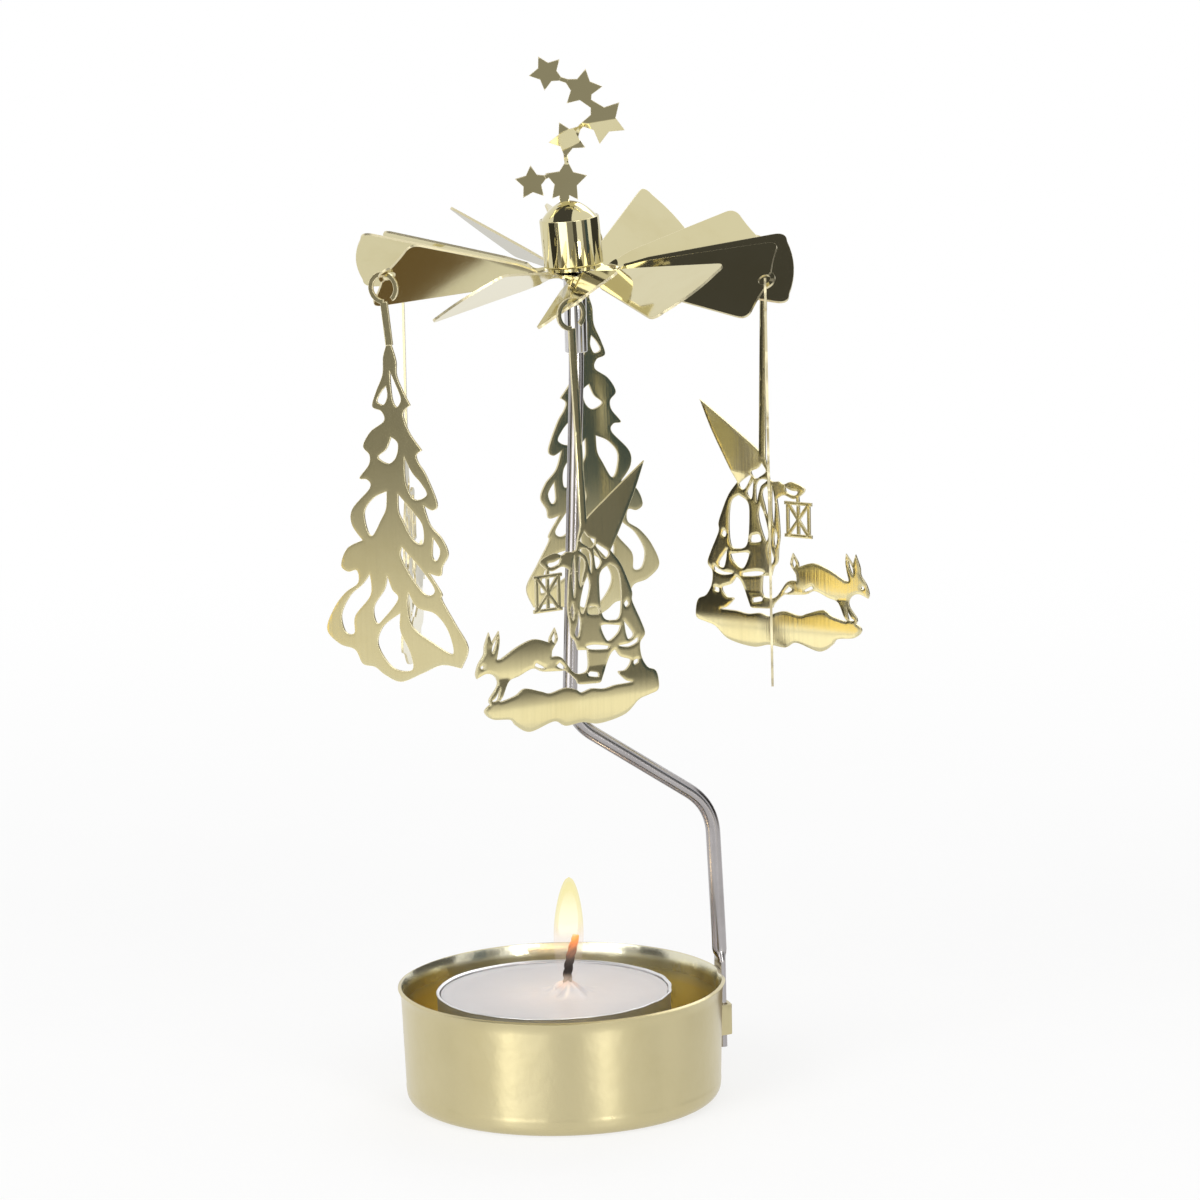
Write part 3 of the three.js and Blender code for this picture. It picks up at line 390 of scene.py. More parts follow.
@dataclass(frozen=True)
class CandleWax:
    """White wax that lets light in, with the flame's glow painted into its colour as a soft ring about the
    wick.

    Attributes:
        name: The material's name.
        colour: Its clean colour.
        painted_flame_glow: Painted light: the flame's glow, its colour mixed in beside the wick.
        painted_glow_reach: How far that painted glow reaches from the wick.
        wick: Where the wick stands.
    """

    name: str = "candle_wax"
    colour: Colour = tint(0.55, 0.545, 0.57)
    painted_flame_glow: Colour = tint(0.95, 0.66, 0.46)
    painted_glow_reach: float = 2.4
    wick: Spot = (0.0, 0.0)

    def material(self) -> bpy.types.Material:
        """Builds the material.

        Returns:
            The material.
        """
        shader = Shader(self.name)
        place = shader.place()
        x, y, _ = shader.split(place)
        x, y = x - self.wick[0] * MM, y - self.wick[1] * MM
        reach = (x * x + y * y) ** 0.5
        glow = 1.0 - reach.step(0.8 * MM, self.painted_glow_reach * MM)
        cloud = shader.noise(place, 160.0, 4.0, 0.6)
        speck = shader.noise(place, 1500.0, 2.0, 0.5)
        colour = shader.mix(cloud * 0.35, self.colour, tint(0.48, 0.475, 0.51))
        # Painted light: the flame's glow is mixed into the wax's colour near the wick. The same mask also
        # makes the melted wax there smoother and glossier.
        colour = shader.mix(glow * 0.45, colour, self.painted_flame_glow)
        return shader.surface(
            Base_Color=colour, Roughness=0.32 + cloud * 0.2 - glow * 0.12, Subsurface_Weight=0.25,
            Subsurface_Radius=(0.004, 0.003, 0.0025), Subsurface_Scale=1.0, Coat_Weight=glow * 0.5,
            Normal=shader.bump(cloud + speck * 0.25, 0.25, 0.2 * MM))


@dataclass(frozen=True)
class CharredCotton:
    """Burnt braid with a glowing tip.

    Attributes:
        name: The material's name.
        tip: Height of the wick's tip.
        glow: How far below the tip the ember starts.
    """

    name: str = "charred_cotton"
    tip: float = 27.1
    glow: float = 2.6

    def material(self) -> bpy.types.Material:
        """Builds the material.

        Returns:
            The material.
        """
        shader = Shader(self.name)
        place = shader.place()
        _, _, z = shader.split(place)
        ash = shader.noise(place, 2600.0, 3.0, 0.6)
        hot = z.step((self.tip - self.glow) * MM, self.tip * MM) * (ash * 0.9 + 0.45).low(1.0)
        brown = z.step((self.tip - 4.2) * MM, (self.tip - 2.4) * MM)
        damp = 1.0 - z.step((self.tip - 7.5) * MM, (self.tip - 6.0) * MM)
        colour = shader.mix(ash, tint(0.004, 0.003, 0.003), tint(0.02, 0.014, 0.012))
        colour = shader.mix(brown, colour, tint(0.26, 0.08, 0.02))
        colour = shader.mix(damp, colour, tint(0.5, 0.4, 0.32))
        ember = shader.mix(hot, tint(0.0, 0.0, 0.0), tint(1.0, 0.22, 0.02))
        return shader.surface(
            Base_Color=colour, Roughness=0.85, Specular_IOR_Level=0.05, Emission_Color=ember,
            Emission_Strength=1.6, Normal=shader.bump(ash, 0.4, 0.1 * MM))


class FlamePart(Enum):
    """The shells of a flame."""

    CORE = "flame_core"
    MANTLE = "flame_mantle"
    VEIL = "flame_veil"


@dataclass(frozen=True)
class FlameGlow:
    """The light of one shell of a flame.

    Attributes:
        part: The shell.
        bottom: Height of its lower end.
        top: Height of its tip.
        strength: Brightness.
        stops: Colours at shares of its height.
        opacity: Opacities at shares of its height.
        width: Of the shell.
    """

    part: FlamePart
    bottom: float
    top: float
    strength: float
    stops: tuple[tuple[float, Colour], ...]
    opacity: tuple[Spot, ...]
    width: float

    def material(self) -> bpy.types.Material:
        """Builds the material.

        Returns:
            The material.
        """
        shader = Shader(self.part.value)
        _, _, z = shader.split(shader.place())
        share = (z - self.bottom * MM) / ((self.top - self.bottom) * MM)
        colour = shader.node("ShaderNodeValToRGB", {"stops": self.stops}, {0: share})
        greys = [(at, tint(value, value, value)) for at, value in self.opacity]
        clear = shader.node("ShaderNodeValToRGB", {"stops": greys}, {0: share})
        return shader.surface(
            Base_Color=tint(0.0, 0.0, 0.0), Roughness=1.0, Specular_IOR_Level=0.0, Emission_Color=colour,
            Emission_Strength=self.strength, Alpha=clear)


CHAMPAGNE = tint(0.66, 0.60, 0.36)
OLD_GOLD = tint(0.63, 0.565, 0.325)
CUT_GOLD = tint(0.80, 0.72, 0.50)
# satin_gold's inner colour is painted bounce light inside the cup, and its rim colour is a painted highlight.
SATIN_GOLD = Metal("satin_gold", tint(0.61, 0.537, 0.315), tint(0.59, 0.517, 0.295), 0.36, 0.03, Grain.AROUND,
                   5.0, 0.02, coat=0.2, inner=tint(0.80, 0.66, 0.26), stretch=0.75, dents=0.2)
SHEET_GOLD = Metal("sheet_gold", CHAMPAGNE, OLD_GOLD, 0.05, 0.03, Grain.SHEET, 7.0, 0.015, cut=CUT_GOLD)
FIGURE_GOLD = Metal("figure_gold", CHAMPAGNE, OLD_GOLD, 0.11, 0.06, Grain.SHEET, 2.0, 0.35, cut=CUT_GOLD,
                    streaks=0.12)
MIRROR_GOLD = Metal("mirror_gold", CHAMPAGNE, OLD_GOLD, 0.05, 0.02, Grain.AROUND, 6.0, 0.01, LAYOUT.spin_x)
WIRE_STEEL = Metal("wire_steel", tint(0.42, 0.40, 0.40), tint(0.36, 0.34, 0.34), 0.20, 0.06, Grain.UPRIGHT,
                   9.0, 0.05)
BRIGHT_STEEL = Metal("bright_steel", tint(0.62, 0.61, 0.62), tint(0.56, 0.55, 0.55), 0.07, 0.03, Grain.AROUND,
                     6.0, 0.02, LAYOUT.spin_x)
SHELL_METAL = Metal("shell_metal", tint(0.78, 0.78, 0.80), tint(0.70, 0.70, 0.72), 0.34, 0.10, Grain.AROUND,
                    5.0, 0.04)
TIN = Metal("tin", tint(0.62, 0.62, 0.60), tint(0.5, 0.5, 0.48), 0.35, 0.1, Grain.AROUND, 5.0, 0.05)


def add(name: str, data: bpy.types.ID) -> bpy.types.Object:
    """Makes an object and links it into the scene.

    Args:
        name: The object's name.
        data: Its mesh, camera or light.

    Returns:
        The object, at the origin.
    """
    made = bpy.data.objects.new(name, data)
    bpy.context.scene.collection.objects.link(made)
    return made


def mark(mesh: bpy.types.Mesh, name: str, values: Sequence[float]) -> None:
    """Keeps one value for each corner of a mesh under a name."""
    layer = mesh.attributes.new(name, "FLOAT", "POINT")
    layer.data.foreach_set("value", np.asarray(values, np.float32))


def frame_mesh(name: str, corners: np.ndarray, edges: Sequence[Sequence[int]]) -> bpy.types.Object:
    """Makes an object of points and edges, for a tree of nodes to build on.

    Args:
        name: The piece's name.
        corners: Places of the points in millimetres.
        edges: Numbers of the points that each edge joins.

    Returns:
        The object, at the origin.
    """
    mesh = bpy.data.meshes.new(name)
    mesh.from_pydata((np.asarray(corners, float) * MM).tolist(), edges, [])
    return add(name, mesh)


def finish_mesh(name: str, corners: np.ndarray, faces: Sequence[Sequence[int]], sharp: float = 35.0,
                sheet: np.ndarray | None = None, edge: np.ndarray | None = None) -> bpy.types.Object:
    """Makes an object in the scene.

    Args:
        name: The piece's name.
        corners: Corner places in millimetres.
        faces: Corner numbers of each face, turning left seen from outside.
        sharp: Angle in degrees from which an edge is shaded sharp.
        sheet: Flat places of the corners before bending, kept as the UV map "sheet".
        edge: Distances of the corners to a cut edge, kept as the attribute "edge".

    Returns:
        The object, at the origin.
    """
    mesh = bpy.data.meshes.new(name)
    mesh.from_pydata((np.asarray(corners, float) * MM).tolist(), [], [list(map(int, f)) for f in faces])
    if sheet is not None:
        order = np.zeros(len(mesh.loops), np.int32)
        mesh.loops.foreach_get("vertex_index", order)
        layer = mesh.uv_layers.new(name="sheet")
        layer.data.foreach_set("uv", np.asarray(sheet, np.float32)[order][:, :2].ravel())
    if edge is not None:
        mark(mesh, "edge", edge)
    mesh.shade_smooth()
    mesh.set_sharp_from_angle(angle=math.radians(sharp))
    mesh.validate()
    return add(name, mesh)


def plate(name: str, wide: float, high: float, up: float = 0.0) -> bpy.types.Object:
    """Makes a flat rectangle about the Z axis.

    Args:
        name: The piece's name.
        wide: Its size along x.
        high: Its size along y.
        up: Its height.

    Returns:
        The object, at the origin.
    """
    x, y = wide / 2, high / 2
    corners = np.array([(-x, -y, up), (x, -y, up), (x, y, up), (-x, y, up)])
    return finish_mesh(name, corners, [(0, 1, 2, 3)])


def modify(piece: bpy.types.Object, kind: str, **settings: object) -> None:
    """Adds a modifier to a piece.

    Args:
        piece: The piece.
        kind: Type of the modifier.
        settings: Its settings, in the order in which they are set.
    """
    made = piece.modifiers.new(kind.lower(), kind)
    for key, value in settings.items():
        setattr(made, key, value)


def freeze(piece: bpy.types.Object) -> bpy.types.Object:
    """Turns a piece's modifiers into a plain mesh.

    Args:
        piece: The piece.

    Returns:
        The same piece, without modifiers.
    """
    bpy.context.view_layer.update()
    evaluated = piece.evaluated_get(bpy.context.evaluated_depsgraph_get())
    mesh = bpy.data.meshes.new_from_object(evaluated)
    piece.modifiers.clear()
    old = piece.data
    piece.data = mesh
    mesh.name = piece.name
    bpy.data.meshes.remove(old)
    return piece


def wear(piece: bpy.types.Object, finish: object, body: str, slot: str, *nodes: str) -> bpy.types.Object:
    """Gives a piece its material and its body, and hides the solids that it stands for.

    Args:
        piece: The piece.
        finish: Its finish, or a material.
        body: The body that it rides on.
        slot: Not used.
        nodes: The solids that it replaces.

    Returns:
        The same piece.
    """
    piece.data.materials.clear()
    piece.data.materials.append(finish.material() if hasattr(finish, "material") else finish)
    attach(piece, body)
    if nodes:
        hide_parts(*nodes)
    LOG.info("%s: %d faces on %s", piece.name, len(piece.data.polygons), body)
    return piece


def clip(value: float) -> float:
    """A value held between 0 and 1."""
    return min(max(value, 0), 1)


def polar(radius: float, turn: float, centre: Spot = (0.0, 0.0)) -> Spot:
    """A point at a distance and an angle, in radians, from a centre."""
    return (centre[0] + radius * math.cos(turn), centre[1] + radius * math.sin(turn))


def arc(centre: Spot, radius: float, start: float, end: float, steps: int) -> list[Spot]:
    """Points on a circle from one angle to another, in degrees."""
    return [polar(radius, turn, centre) for turn in np.radians(np.linspace(start, end, steps + 1))]


def turned(profile: Points, segments: int, centre: Spot = (0.0, 0.0)) -> tuple[np.ndarray, list[list[int]]]:
    """Turns a profile about an upright axis.

    Args:
        profile: Radius and height, with the material on its left. A closed profile ends on its first point.
        segments: Steps around.
        centre: Place of the axis.

    Returns:
        Corners and faces.
    """
    closed = tuple(profile[0]) == tuple(profile[-1])
    rows = list(profile[:-1]) if closed else list(profile)
    corners, rings = [], []
    for radius, height in rows:
        count = 1 if radius < 1e-6 else segments
        turns = 2 * math.pi * np.arange(count) / segments
        rings.append(np.arange(count) + len(corners))
        corners += [(*polar(radius, turn, centre), height) for turn in turns]
    faces = []
    pairs = list(zip(rings, rings[1:] + rings[:1])) if closed else list(zip(rings, rings[1:]))
    for low, high in pairs:
        for j in range(segments):
            k = (j + 1) % segments
            square = [low[j % len(low)], low[k % len(low)], high[k % len(high)], high[j % len(high)]]
            face = list(dict.fromkeys(int(c) for c in square))
            if len(face) > 2:
                faces.append(face)
    return np.array(corners), faces


def spline(row: Points, facet: float) -> list[Spot]:
    """Points along a smooth curve through a row, without its last point.

    Args:
        row: Points that the curve goes through.
        facet: Length of a step.

    Returns:
        The points.
    """
    through = np.array(row, float)
    if len(through) == 2:
        steps = max(1, round(float(np.linalg.norm(through[1] - through[0])) / facet))
        return [tuple(through[0] + (through[1] - through[0]) * i / steps) for i in range(steps)]
    padded = np.vstack([through[:1], through, through[-1:]])
    points = []
    for a, b, c, d in zip(padded, padded[1:], padded[2:], padded[3:]):
        steps = max(2, round(float(np.linalg.norm(c - b)) / facet))
        for i in range(steps):
            t = i / steps
            start, end = (c - a) / 2, (d - b) / 2
            cubic = (2 * b - 2 * c + start + end) * t ** 3 + (3 * c - 3 * b - 2 * start - end) * t ** 2
            points.append(tuple(cubic + start * t + b))
    return points


def loop(rows: Sequence[Points], facet: float) -> np.ndarray:
    """A drawn loop: rows are smooth curves that meet in corners."""
    return np.array([point for row in rows for point in spline(row, facet)])


def rounded(start: Sequence[float], corner: Sequence[float], end: Sequence[float], steps: int) -> list[Spot]:
    """Points on a curve that rounds a corner.

    Args:
        start: Where the curve leaves one side.
        corner: The corner itself.
        end: Where the curve meets the other side.
        steps: Number of points.

    Returns:
        The points, both ends included.
    """
    a, b, c = (np.array(p, float) for p in (start, corner, end))
    return [tuple((1 - t) ** 2 * a + 2 * t * (1 - t) * b + t * t * c) for t in np.linspace(0, 1, steps)]


def bar(start: Sequence[float], end: Sequence[float], width: float) -> np.ndarray:
    """A straight bar's outline.

    Args:
        start: Middle of one end.
        end: Middle of the other end.
        width: Of the bar.

    Returns:
        Its four corners.
    """
    a, b = np.array(start, float), np.array(end, float)
    side = (b - a) / np.linalg.norm(b - a) * width / 2
    side = np.array([side[1], -side[0]])
    return np.array([a + side, b + side, b - side, a - side])


@dataclass
class CutSheet:
    """A sheet that is cut to shape, with softened edges.

    Attributes:
        solids: Loops of sheet.
        cuts: Loops cut out of the solids.
        bars: Loops of sheet that the cuts leave whole.
        thickness: Of the sheet.
        soften: How far the faces fall away at a cut edge.
        reach: Width of that softened band.
        spacing: Distance between the points inside.
        seams: Tells which flat points lie on an open seam.
    """

    solids: list[np.ndarray]
    cuts: list[np.ndarray] = field(default_factory=list)
    bars: list[np.ndarray] = field(default_factory=list)
    thickness: float = 0.4
    soften: float = 0.1
    reach: float = 0.5
    spacing: float = 0.34
    seams: Callable[[np.ndarray], np.ndarray] | None = None

    @staticmethod
    def _left(points: np.ndarray) -> np.ndarray:
        """A loop that turns left.

        Args:
            points: A loop.

        Returns:
            The loop, or the loop run the other way.
        """
        x, y = points[:, 0], points[:, 1]
        area = float(np.sum(x * np.roll(y, -1) - y * np.roll(x, -1)))
        return points if area > 0 else points[::-1]

    @staticmethod
    def _distance(points: np.ndarray, starts: np.ndarray, ends: np.ndarray) -> np.ndarray:
        """Distances of points to the nearest of some straight edges.

        Args:
            points: The points.
            starts: Starts of the edges.
            ends: Ends of the edges.

        Returns:
            A distance for each point.
        """
        best = np.full(len(points), np.inf)
        for a, b in zip(starts, ends):
            along = b - a
            share = np.clip((points - a) @ along / max(float(along @ along), 1e-12), 0, 1)
            best = np.minimum(best, np.linalg.norm(points - a - share[:, None] * along, axis=1))
        return best

    def _inside_points(self, loops: list[np.ndarray]) -> np.ndarray:
        """A regular field of points, clear of the loops.

        Args:
            loops: The loops of the sheet.

        Returns:
            The points.
        """
        every = np.vstack(loops)
        low, high = every.min(0), every.max(0)
        rows = np.arange(low[1], high[1], self.spacing * 0.87)
        columns = np.arange(low[0], high[0], self.spacing)
        xs, ys = np.meshgrid(columns, rows)
        xs = xs + (np.arange(len(rows)) % 2)[:, None] * self.spacing / 2
        points = np.column_stack([xs.ravel(), ys.ravel()])
        starts = np.vstack(loops)
        ends = np.vstack([np.roll(l, -1, axis=0) for l in loops])
        return points[self._distance(points, starts, ends) > self.spacing * 0.42]

    def fill(self) -> tuple[np.ndarray, np.ndarray]:
        """Fills the loops.

        Returns:
            Flat corners, and the triangles of sheet.
        """
        loops = [self._left(l) for l in [*self.solids, *self.cuts, *self.bars]]
        first_cut, first_bar = len(self.solids), len(self.solids) + len(self.cuts)
        faces, count = [], 0
        for points in loops:
            faces.append(list(range(count, count + len(points))))
            count += len(points)
        coords = [Vector(p) for p in np.vstack([*loops, self._inside_points(loops)])]
        corners, _, triangles, _, _, origins = delaunay_2d_cdt(coords, [], faces, 1, 1e-6)
        kept = []
        for triangle, origin in zip(triangles, origins):
            barred = any(o >= first_bar for o in origin)
            cut = any(first_cut <= o < first_bar for o in origin)
            solid = any(o < first_cut for o in origin)
            if barred or (solid and not cut):
                kept.append(triangle)
        used = sorted({c for t in kept for c in t})
        number = {c: i for i, c in enumerate(used)}
        flat = np.array([corners[c] for c in used])
        return flat, np.array([[number[c] for c in t] for t in kept])

    def rim(self, flat: np.ndarray, triangles: np.ndarray) -> list[tuple[int, int]]:
        """Edges that only one triangle has, seams left out.

        Args:
            flat: Flat corners.
            triangles: The triangles of sheet.

        Returns:
            Pairs of corners, in order.
        """
        pairs = {(int(t[i]), int(t[(i + 1) % 3])) for t in triangles for i in range(3)}
        edges = [p for p in pairs if (p[1], p[0]) not in pairs]
        if self.seams is not None:
            on_seam = self.seams(flat)
            edges = [(a, b) for a, b in edges if not (on_seam[a] and on_seam[b])]
        return sorted(edges)

    @cached_property
    def blank(self) -> tuple[np.ndarray, np.ndarray, list[tuple[int, int]], np.ndarray]:
        """Flat corners, triangles, cut edges, and each corner's distance to them."""
        flat, triangles = self.fill()
        rim = self.rim(flat, triangles)
        starts, ends = flat[[a for a, _ in rim]], flat[[b for _, b in rim]]
        return flat, triangles, rim, self._distance(flat, starts, ends)

    def solid(self, name: str, bend: Callable[[np.ndarray], np.ndarray]) -> bpy.types.Object:
        """Builds the sheet.

        Args:
            name: The piece's name.
            bend: Takes sheet places (across, up, out) to places in the frame.

        Returns:
            The piece.
        """
        flat, triangles, rim, away = self.blank
        fall = self.soften * (1 - np.clip(away / self.reach, 0, 1)) ** 2
        height = self.thickness / 2 - fall
        count = len(flat)
        places = np.vstack([np.column_stack([flat, height]), np.column_stack([flat, -height])])
        faces = [list(t) for t in triangles] + [list(t[::-1] + count) for t in triangles]
        faces += [[a, a + count, b + count, b] for a, b in rim]
        sheet, edge = np.vstack([flat, flat]), np.concatenate([away, away])
        return finish_mesh(name, bend(places), faces, CRISP, sheet, edge)


def moved(matrix: Matrix) -> Callable[[np.ndarray], np.ndarray]:
    """A bend that only places a flat sheet."""
    turn, shift = np.array(matrix.to_3x3()), np.array(matrix.translation)
    return lambda places: places @ turn.T + shift


class NodeTree(Graph):
    """A Geometry Nodes tree with named inputs."""

    KINDS = {float: "NodeSocketFloat", bpy.types.Object: "NodeSocketObject",
             bpy.types.Material: "NodeSocketMaterial"}

    def __init__(self, name: str) -> None:
        """Makes the tree with one geometry in and one out.

        Args:
            name: The tree's name.
        """
        super().__init__(bpy.data.node_groups.new(name, "GeometryNodeTree"))
        self.names: dict[str, str] = {}
        for side in ("INPUT", "OUTPUT"):
            self.tree.interface.new_socket("Geometry", in_out=side, socket_type="NodeSocketGeometry")

    def input(self, name: str, kind: type) -> Term:
        """A named input of the tree.

        Args:
            name: The input's name.
            kind: Type of its values.

        Returns:
            The term of the input.
        """
        made = self.tree.interface.new_socket(name, in_out="INPUT", socket_type=self.KINDS[kind])
        self.names[name] = made.identifier
        return self.node("NodeGroupInput", output=name)

    def geometry(self) -> Term:
        """The geometry that comes in."""
        return self.node("NodeGroupInput", output="Geometry")

    def tube(self, sides: int, radius: Term) -> Term:
        """A round tube along the edges that come in.

        Args:
            sides: Corners of its section.
            radius: Of the tube.

        Returns:
            The tube's geometry.
        """
        route = self.node("GeometryNodeMeshToCurve", inputs={"Mesh": self.geometry()})
        ring = self.node("GeometryNodeCurvePrimitiveCircle", inputs={"Resolution": sides, "Radius": radius})
        inputs = {"Curve": route, "Profile Curve": ring, "Fill Caps": True}
        return self.node("GeometryNodeCurveToMesh", inputs=inputs)

    def end(self, result: Term, material: Term) -> None:
        """Realizes the result, gives it its material and ends the tree.

        Args:
            result: The geometry.
            material: The term of its material.
        """
        real = self.node("GeometryNodeRealizeInstances", inputs={"Geometry": result})
        dressed = self.node("GeometryNodeSetMaterial", inputs={"Geometry": real, "Material": material})
        self.node("NodeGroupOutput", inputs={"Geometry": dressed})

    def run(self, piece: bpy.types.Object, **values: object) -> bpy.types.Object:
        """Runs the tree on a piece, its inputs by name with _ for a space, and freezes the result.

        Args:
            piece: The piece.
            values: Values of the inputs.

        Returns:
            The same piece.
        """
        modifier = piece.modifiers.new(self.tree.name, "NODES")
        modifier.node_group = self.tree
        for name, value in values.items():
            modifier[self.names[name.replace("_", " ")]] = value
        return freeze(piece)


@dataclass
class Cup:
    """The drawn cup with its flared rim and the lanced strap that holds the wire's foot.

    Attributes:
        levels: Heights of the rows of its wall, beside the strap's edges.
        dent: Depth of the dent in the rim above the strap, with its turn, width, foot and rise.
        waves: Height, number and start of the waves in its uneven wall.
        wave_low: Height at which they start.
        wave_rise: Height over which they grow to their full size.
        rough_top: Height inside at which the smooth top of the rim, with its painted highlight, starts.
        rough_fade: Height over which it goes over into the rest.
    """

    sheet: float = 0.6
    taper: float = 0.5
    corner: float = 2.2
    flare: float = 2.3
    flare_radius: float = 4.2
    strap_low: float = 8.0
    strap_high: float = 13.1
    strap_reach: float = 28.7
    strap_flat: float = 1.85
    strap_foot: float = 2.85
    columns: int = 220
    levels: tuple[float, ...] = (3.5, 4.2, 5.6, 7.0, 9.2, 10.5, 11.8, 14.3, 15.4, 16.4)
    dent: float = 0.4
    dent_turn: float = 0.17
    dent_width: float = 1.6
    dent_low: float = 14.0
    dent_rise: float = 5.0
    waves: tuple[tuple[float, int, float], ...] = ((0.05, 3, 1.0), (0.035, 7, 2.1), (0.02, 13, 0.0))
    wave_low: float = 3.0
    wave_rise: float = 10.0
    edge: float = 0.14
    bead: float = 0.06
    bead_step: float = 0.2
    rough_top: float = 16.8
    rough_fade: float = 2.0

    def _rows(self) -> list[Spot]:
        """Outer profile from the middle of the floor to the edge of the flared rim.

        Returns:
            Radius and height of each row.
        """
        height = LAYOUT.cup_height - self.flare
        turn = math.asin(self.flare / (self.flare_radius + self.sheet))
        neck = LAYOUT.cup_radius - self.flare_radius * (1 - math.cos(turn))
        foot = neck - self.taper
        inner = foot - self.corner
        rows = [(inner * share, 0.0) for share in (0.0, 0.25, 0.5, 0.75, 0.92)]
        rows += arc((inner, self.corner), self.corner, -90, 0, 8)
        for i in range(1, 6):
            rows.append((foot + self.bead * math.sin(math.pi * i / 6), self.corner + self.bead_step * i))
        walls = sorted((*self.levels, self.strap_low, self.strap_high))
        rows += [(foot + self.taper * (z - self.corner) / (height - self.corner), z) for z in walls]
        centre = (neck + self.flare_radius, height)
        return rows + arc(centre, self.flare_radius, 180, 180 - math.degrees(turn), 10)

    def _turns(self) -> np.ndarray:
        """Angles of the columns, closer together at the strap.

        Returns:
            Angles in radians, from the strap's middle all round.
        """
        flat, foot = np.linspace(0, self.strap_flat, 6), np.linspace(self.strap_flat, self.strap_foot, 8)[1:]
        near = np.arcsin(np.concatenate([flat, foot]) / LAYOUT.cup_radius)
        even = 2 * math.pi * np.arange(self.columns) / self.columns
        clear = near[-1] + math.pi / self.columns
        far = even[(even > clear) & (even < 2 * math.pi - clear)]
        return np.concatenate([near, far, 2 * math.pi - near[:0:-1]])

    def _place(self, radius: float, height: float, turn: float, out: float) -> tuple[float, float, float]:
        """A corner with the slight unevenness of a pressed and handled wall.

        Args:
            radius: Of its row.
            height: Of its row.
            turn: Of its column, in radians.
            out: How far it is pushed out.

        Returns:
            The corner's place.
        """
        wall = clip((height - self.wave_low) / self.wave_rise) if radius > LAYOUT.cup_radius - 2 else 0
        uneven = sum(size * math.sin(number * turn + start) for size, number, start in self.waves)
        across = math.sin(turn + self.dent_turn) * LAYOUT.cup_radius
        rim = clip((height - self.dent_low) / self.dent_rise) if math.cos(turn) > 0 else 0
        pushed = self.dent * rim * rim * math.exp(-(across / self.dent_width) ** 2)
        reach = radius + wall * uneven - pushed + out
        return (reach * math.cos(turn), reach * math.sin(turn), height)

    def _lift(self, turn: float, radius: float) -> float:
        """How far the strap stands out of the wall at an angle.

        Args:
            turn: The angle in radians.
            radius: Of the wall.

        Returns:
            The distance.
        """
        across = abs(math.sin(turn)) * LAYOUT.cup_radius if math.cos(turn) > 0 else self.strap_foot
        share = clip((self.strap_foot - across) / (self.strap_foot - self.strap_flat))
        return (self.strap_reach - radius) * share * share * (3 - 2 * share)

    def build(self) -> bpy.types.Object:
        """The cup's outside, split along the strap's edges, then given its thickness.

        Returns:
            The cup.
        """
        rows, turns = self._rows(), self._turns()
        corners, wall, strap = [], {}, {}
        for i, (radius, height) in enumerate(rows):
            on_wall = self.corner < height < LAYOUT.cup_height - self.flare
            for j, turn in enumerate(turns):
                lift = self._lift(turn, radius)
                inside = on_wall and self.strap_low < height < self.strap_high and lift > 0
                if radius < 1e-6 and j:
                    wall[i, j] = wall[i, 0]
                    continue
                wall[i, j] = len(corners)
                corners.append(self._place(radius, height, turn, lift if inside else 0.0))
                if on_wall and height in (self.strap_low, self.strap_high) and lift > 0:
                    strap[i, j] = len(corners)
                    corners.append(self._place(radius, height, turn, lift))
        faces = []
        for i in range(len(rows) - 1):
            banded = self.strap_low <= rows[i][1] and rows[i + 1][1] <= self.strap_high
            for j in range(len(turns)):
                k = (j + 1) % len(turns)
                ring = [(i, j), (i, k), (i + 1, k), (i + 1, j)]
                face = [strap.get(c, wall[c]) if banded else wall[c] for c in ring]
                face = list(dict.fromkeys(face))
                if len(face) > 2:
                    faces.append(face)
        piece = finish_mesh("cup_body", np.array(corners), faces)
        modify(piece, "SOLIDIFY", thickness=self.sheet * MM, offset=-1, use_even_offset=True)
        modify(piece, "BEVEL", width=self.edge * MM, segments=2, limit_method="ANGLE",
               angle_limit=math.radians(60))
        freeze(piece)
        piece.data.set_sharp_from_angle(angle=math.radians(40))
        self._mark_inside(piece.data)
        return piece

    def _mark_inside(self, mesh: bpy.types.Mesh) -> None:
        """Marks the corners that face inwards: the rim mask is the smooth top, which gets a painted
        highlight, and the inner mask is the rest, which gets painted bounce light.

        Args:
            mesh: The cup's mesh.
        """
        places, normals = (np.zeros(3 * len(mesh.vertices), np.float32) for _ in range(2))
        mesh.vertices.foreach_get("co", places)
        mesh.vertices.foreach_get("normal", normals)
        places, normals = places.reshape(-1, 3), normals.reshape(-1, 3)
        reach = np.maximum(np.hypot(places[:, 0], places[:, 1]), 1e-6)
        inward = -(places[:, 0] * normals[:, 0] + places[:, 1] * normals[:, 1]) / reach
        floor = (places[:, 2] < 3 * MM) & (normals[:, 2] > 0.3)
        below = np.clip((self.rough_top - places[:, 2] / MM) / self.rough_fade, 0, 1)
        inward = np.clip(inward * 4 - 2.4, 0, 1)
        # These masks place painted light: bounce light inside, and a highlight on the rim.
        mark(mesh, "inner", np.where(floor, 1.0, inward * below))
        mark(mesh, "rim", inward * (1 - below))

    def dress(self) -> None:
        """Builds the cup and gives it its finish."""
        wear(self.build(), SATIN_GOLD, "cup", "satin_gold", "cup")


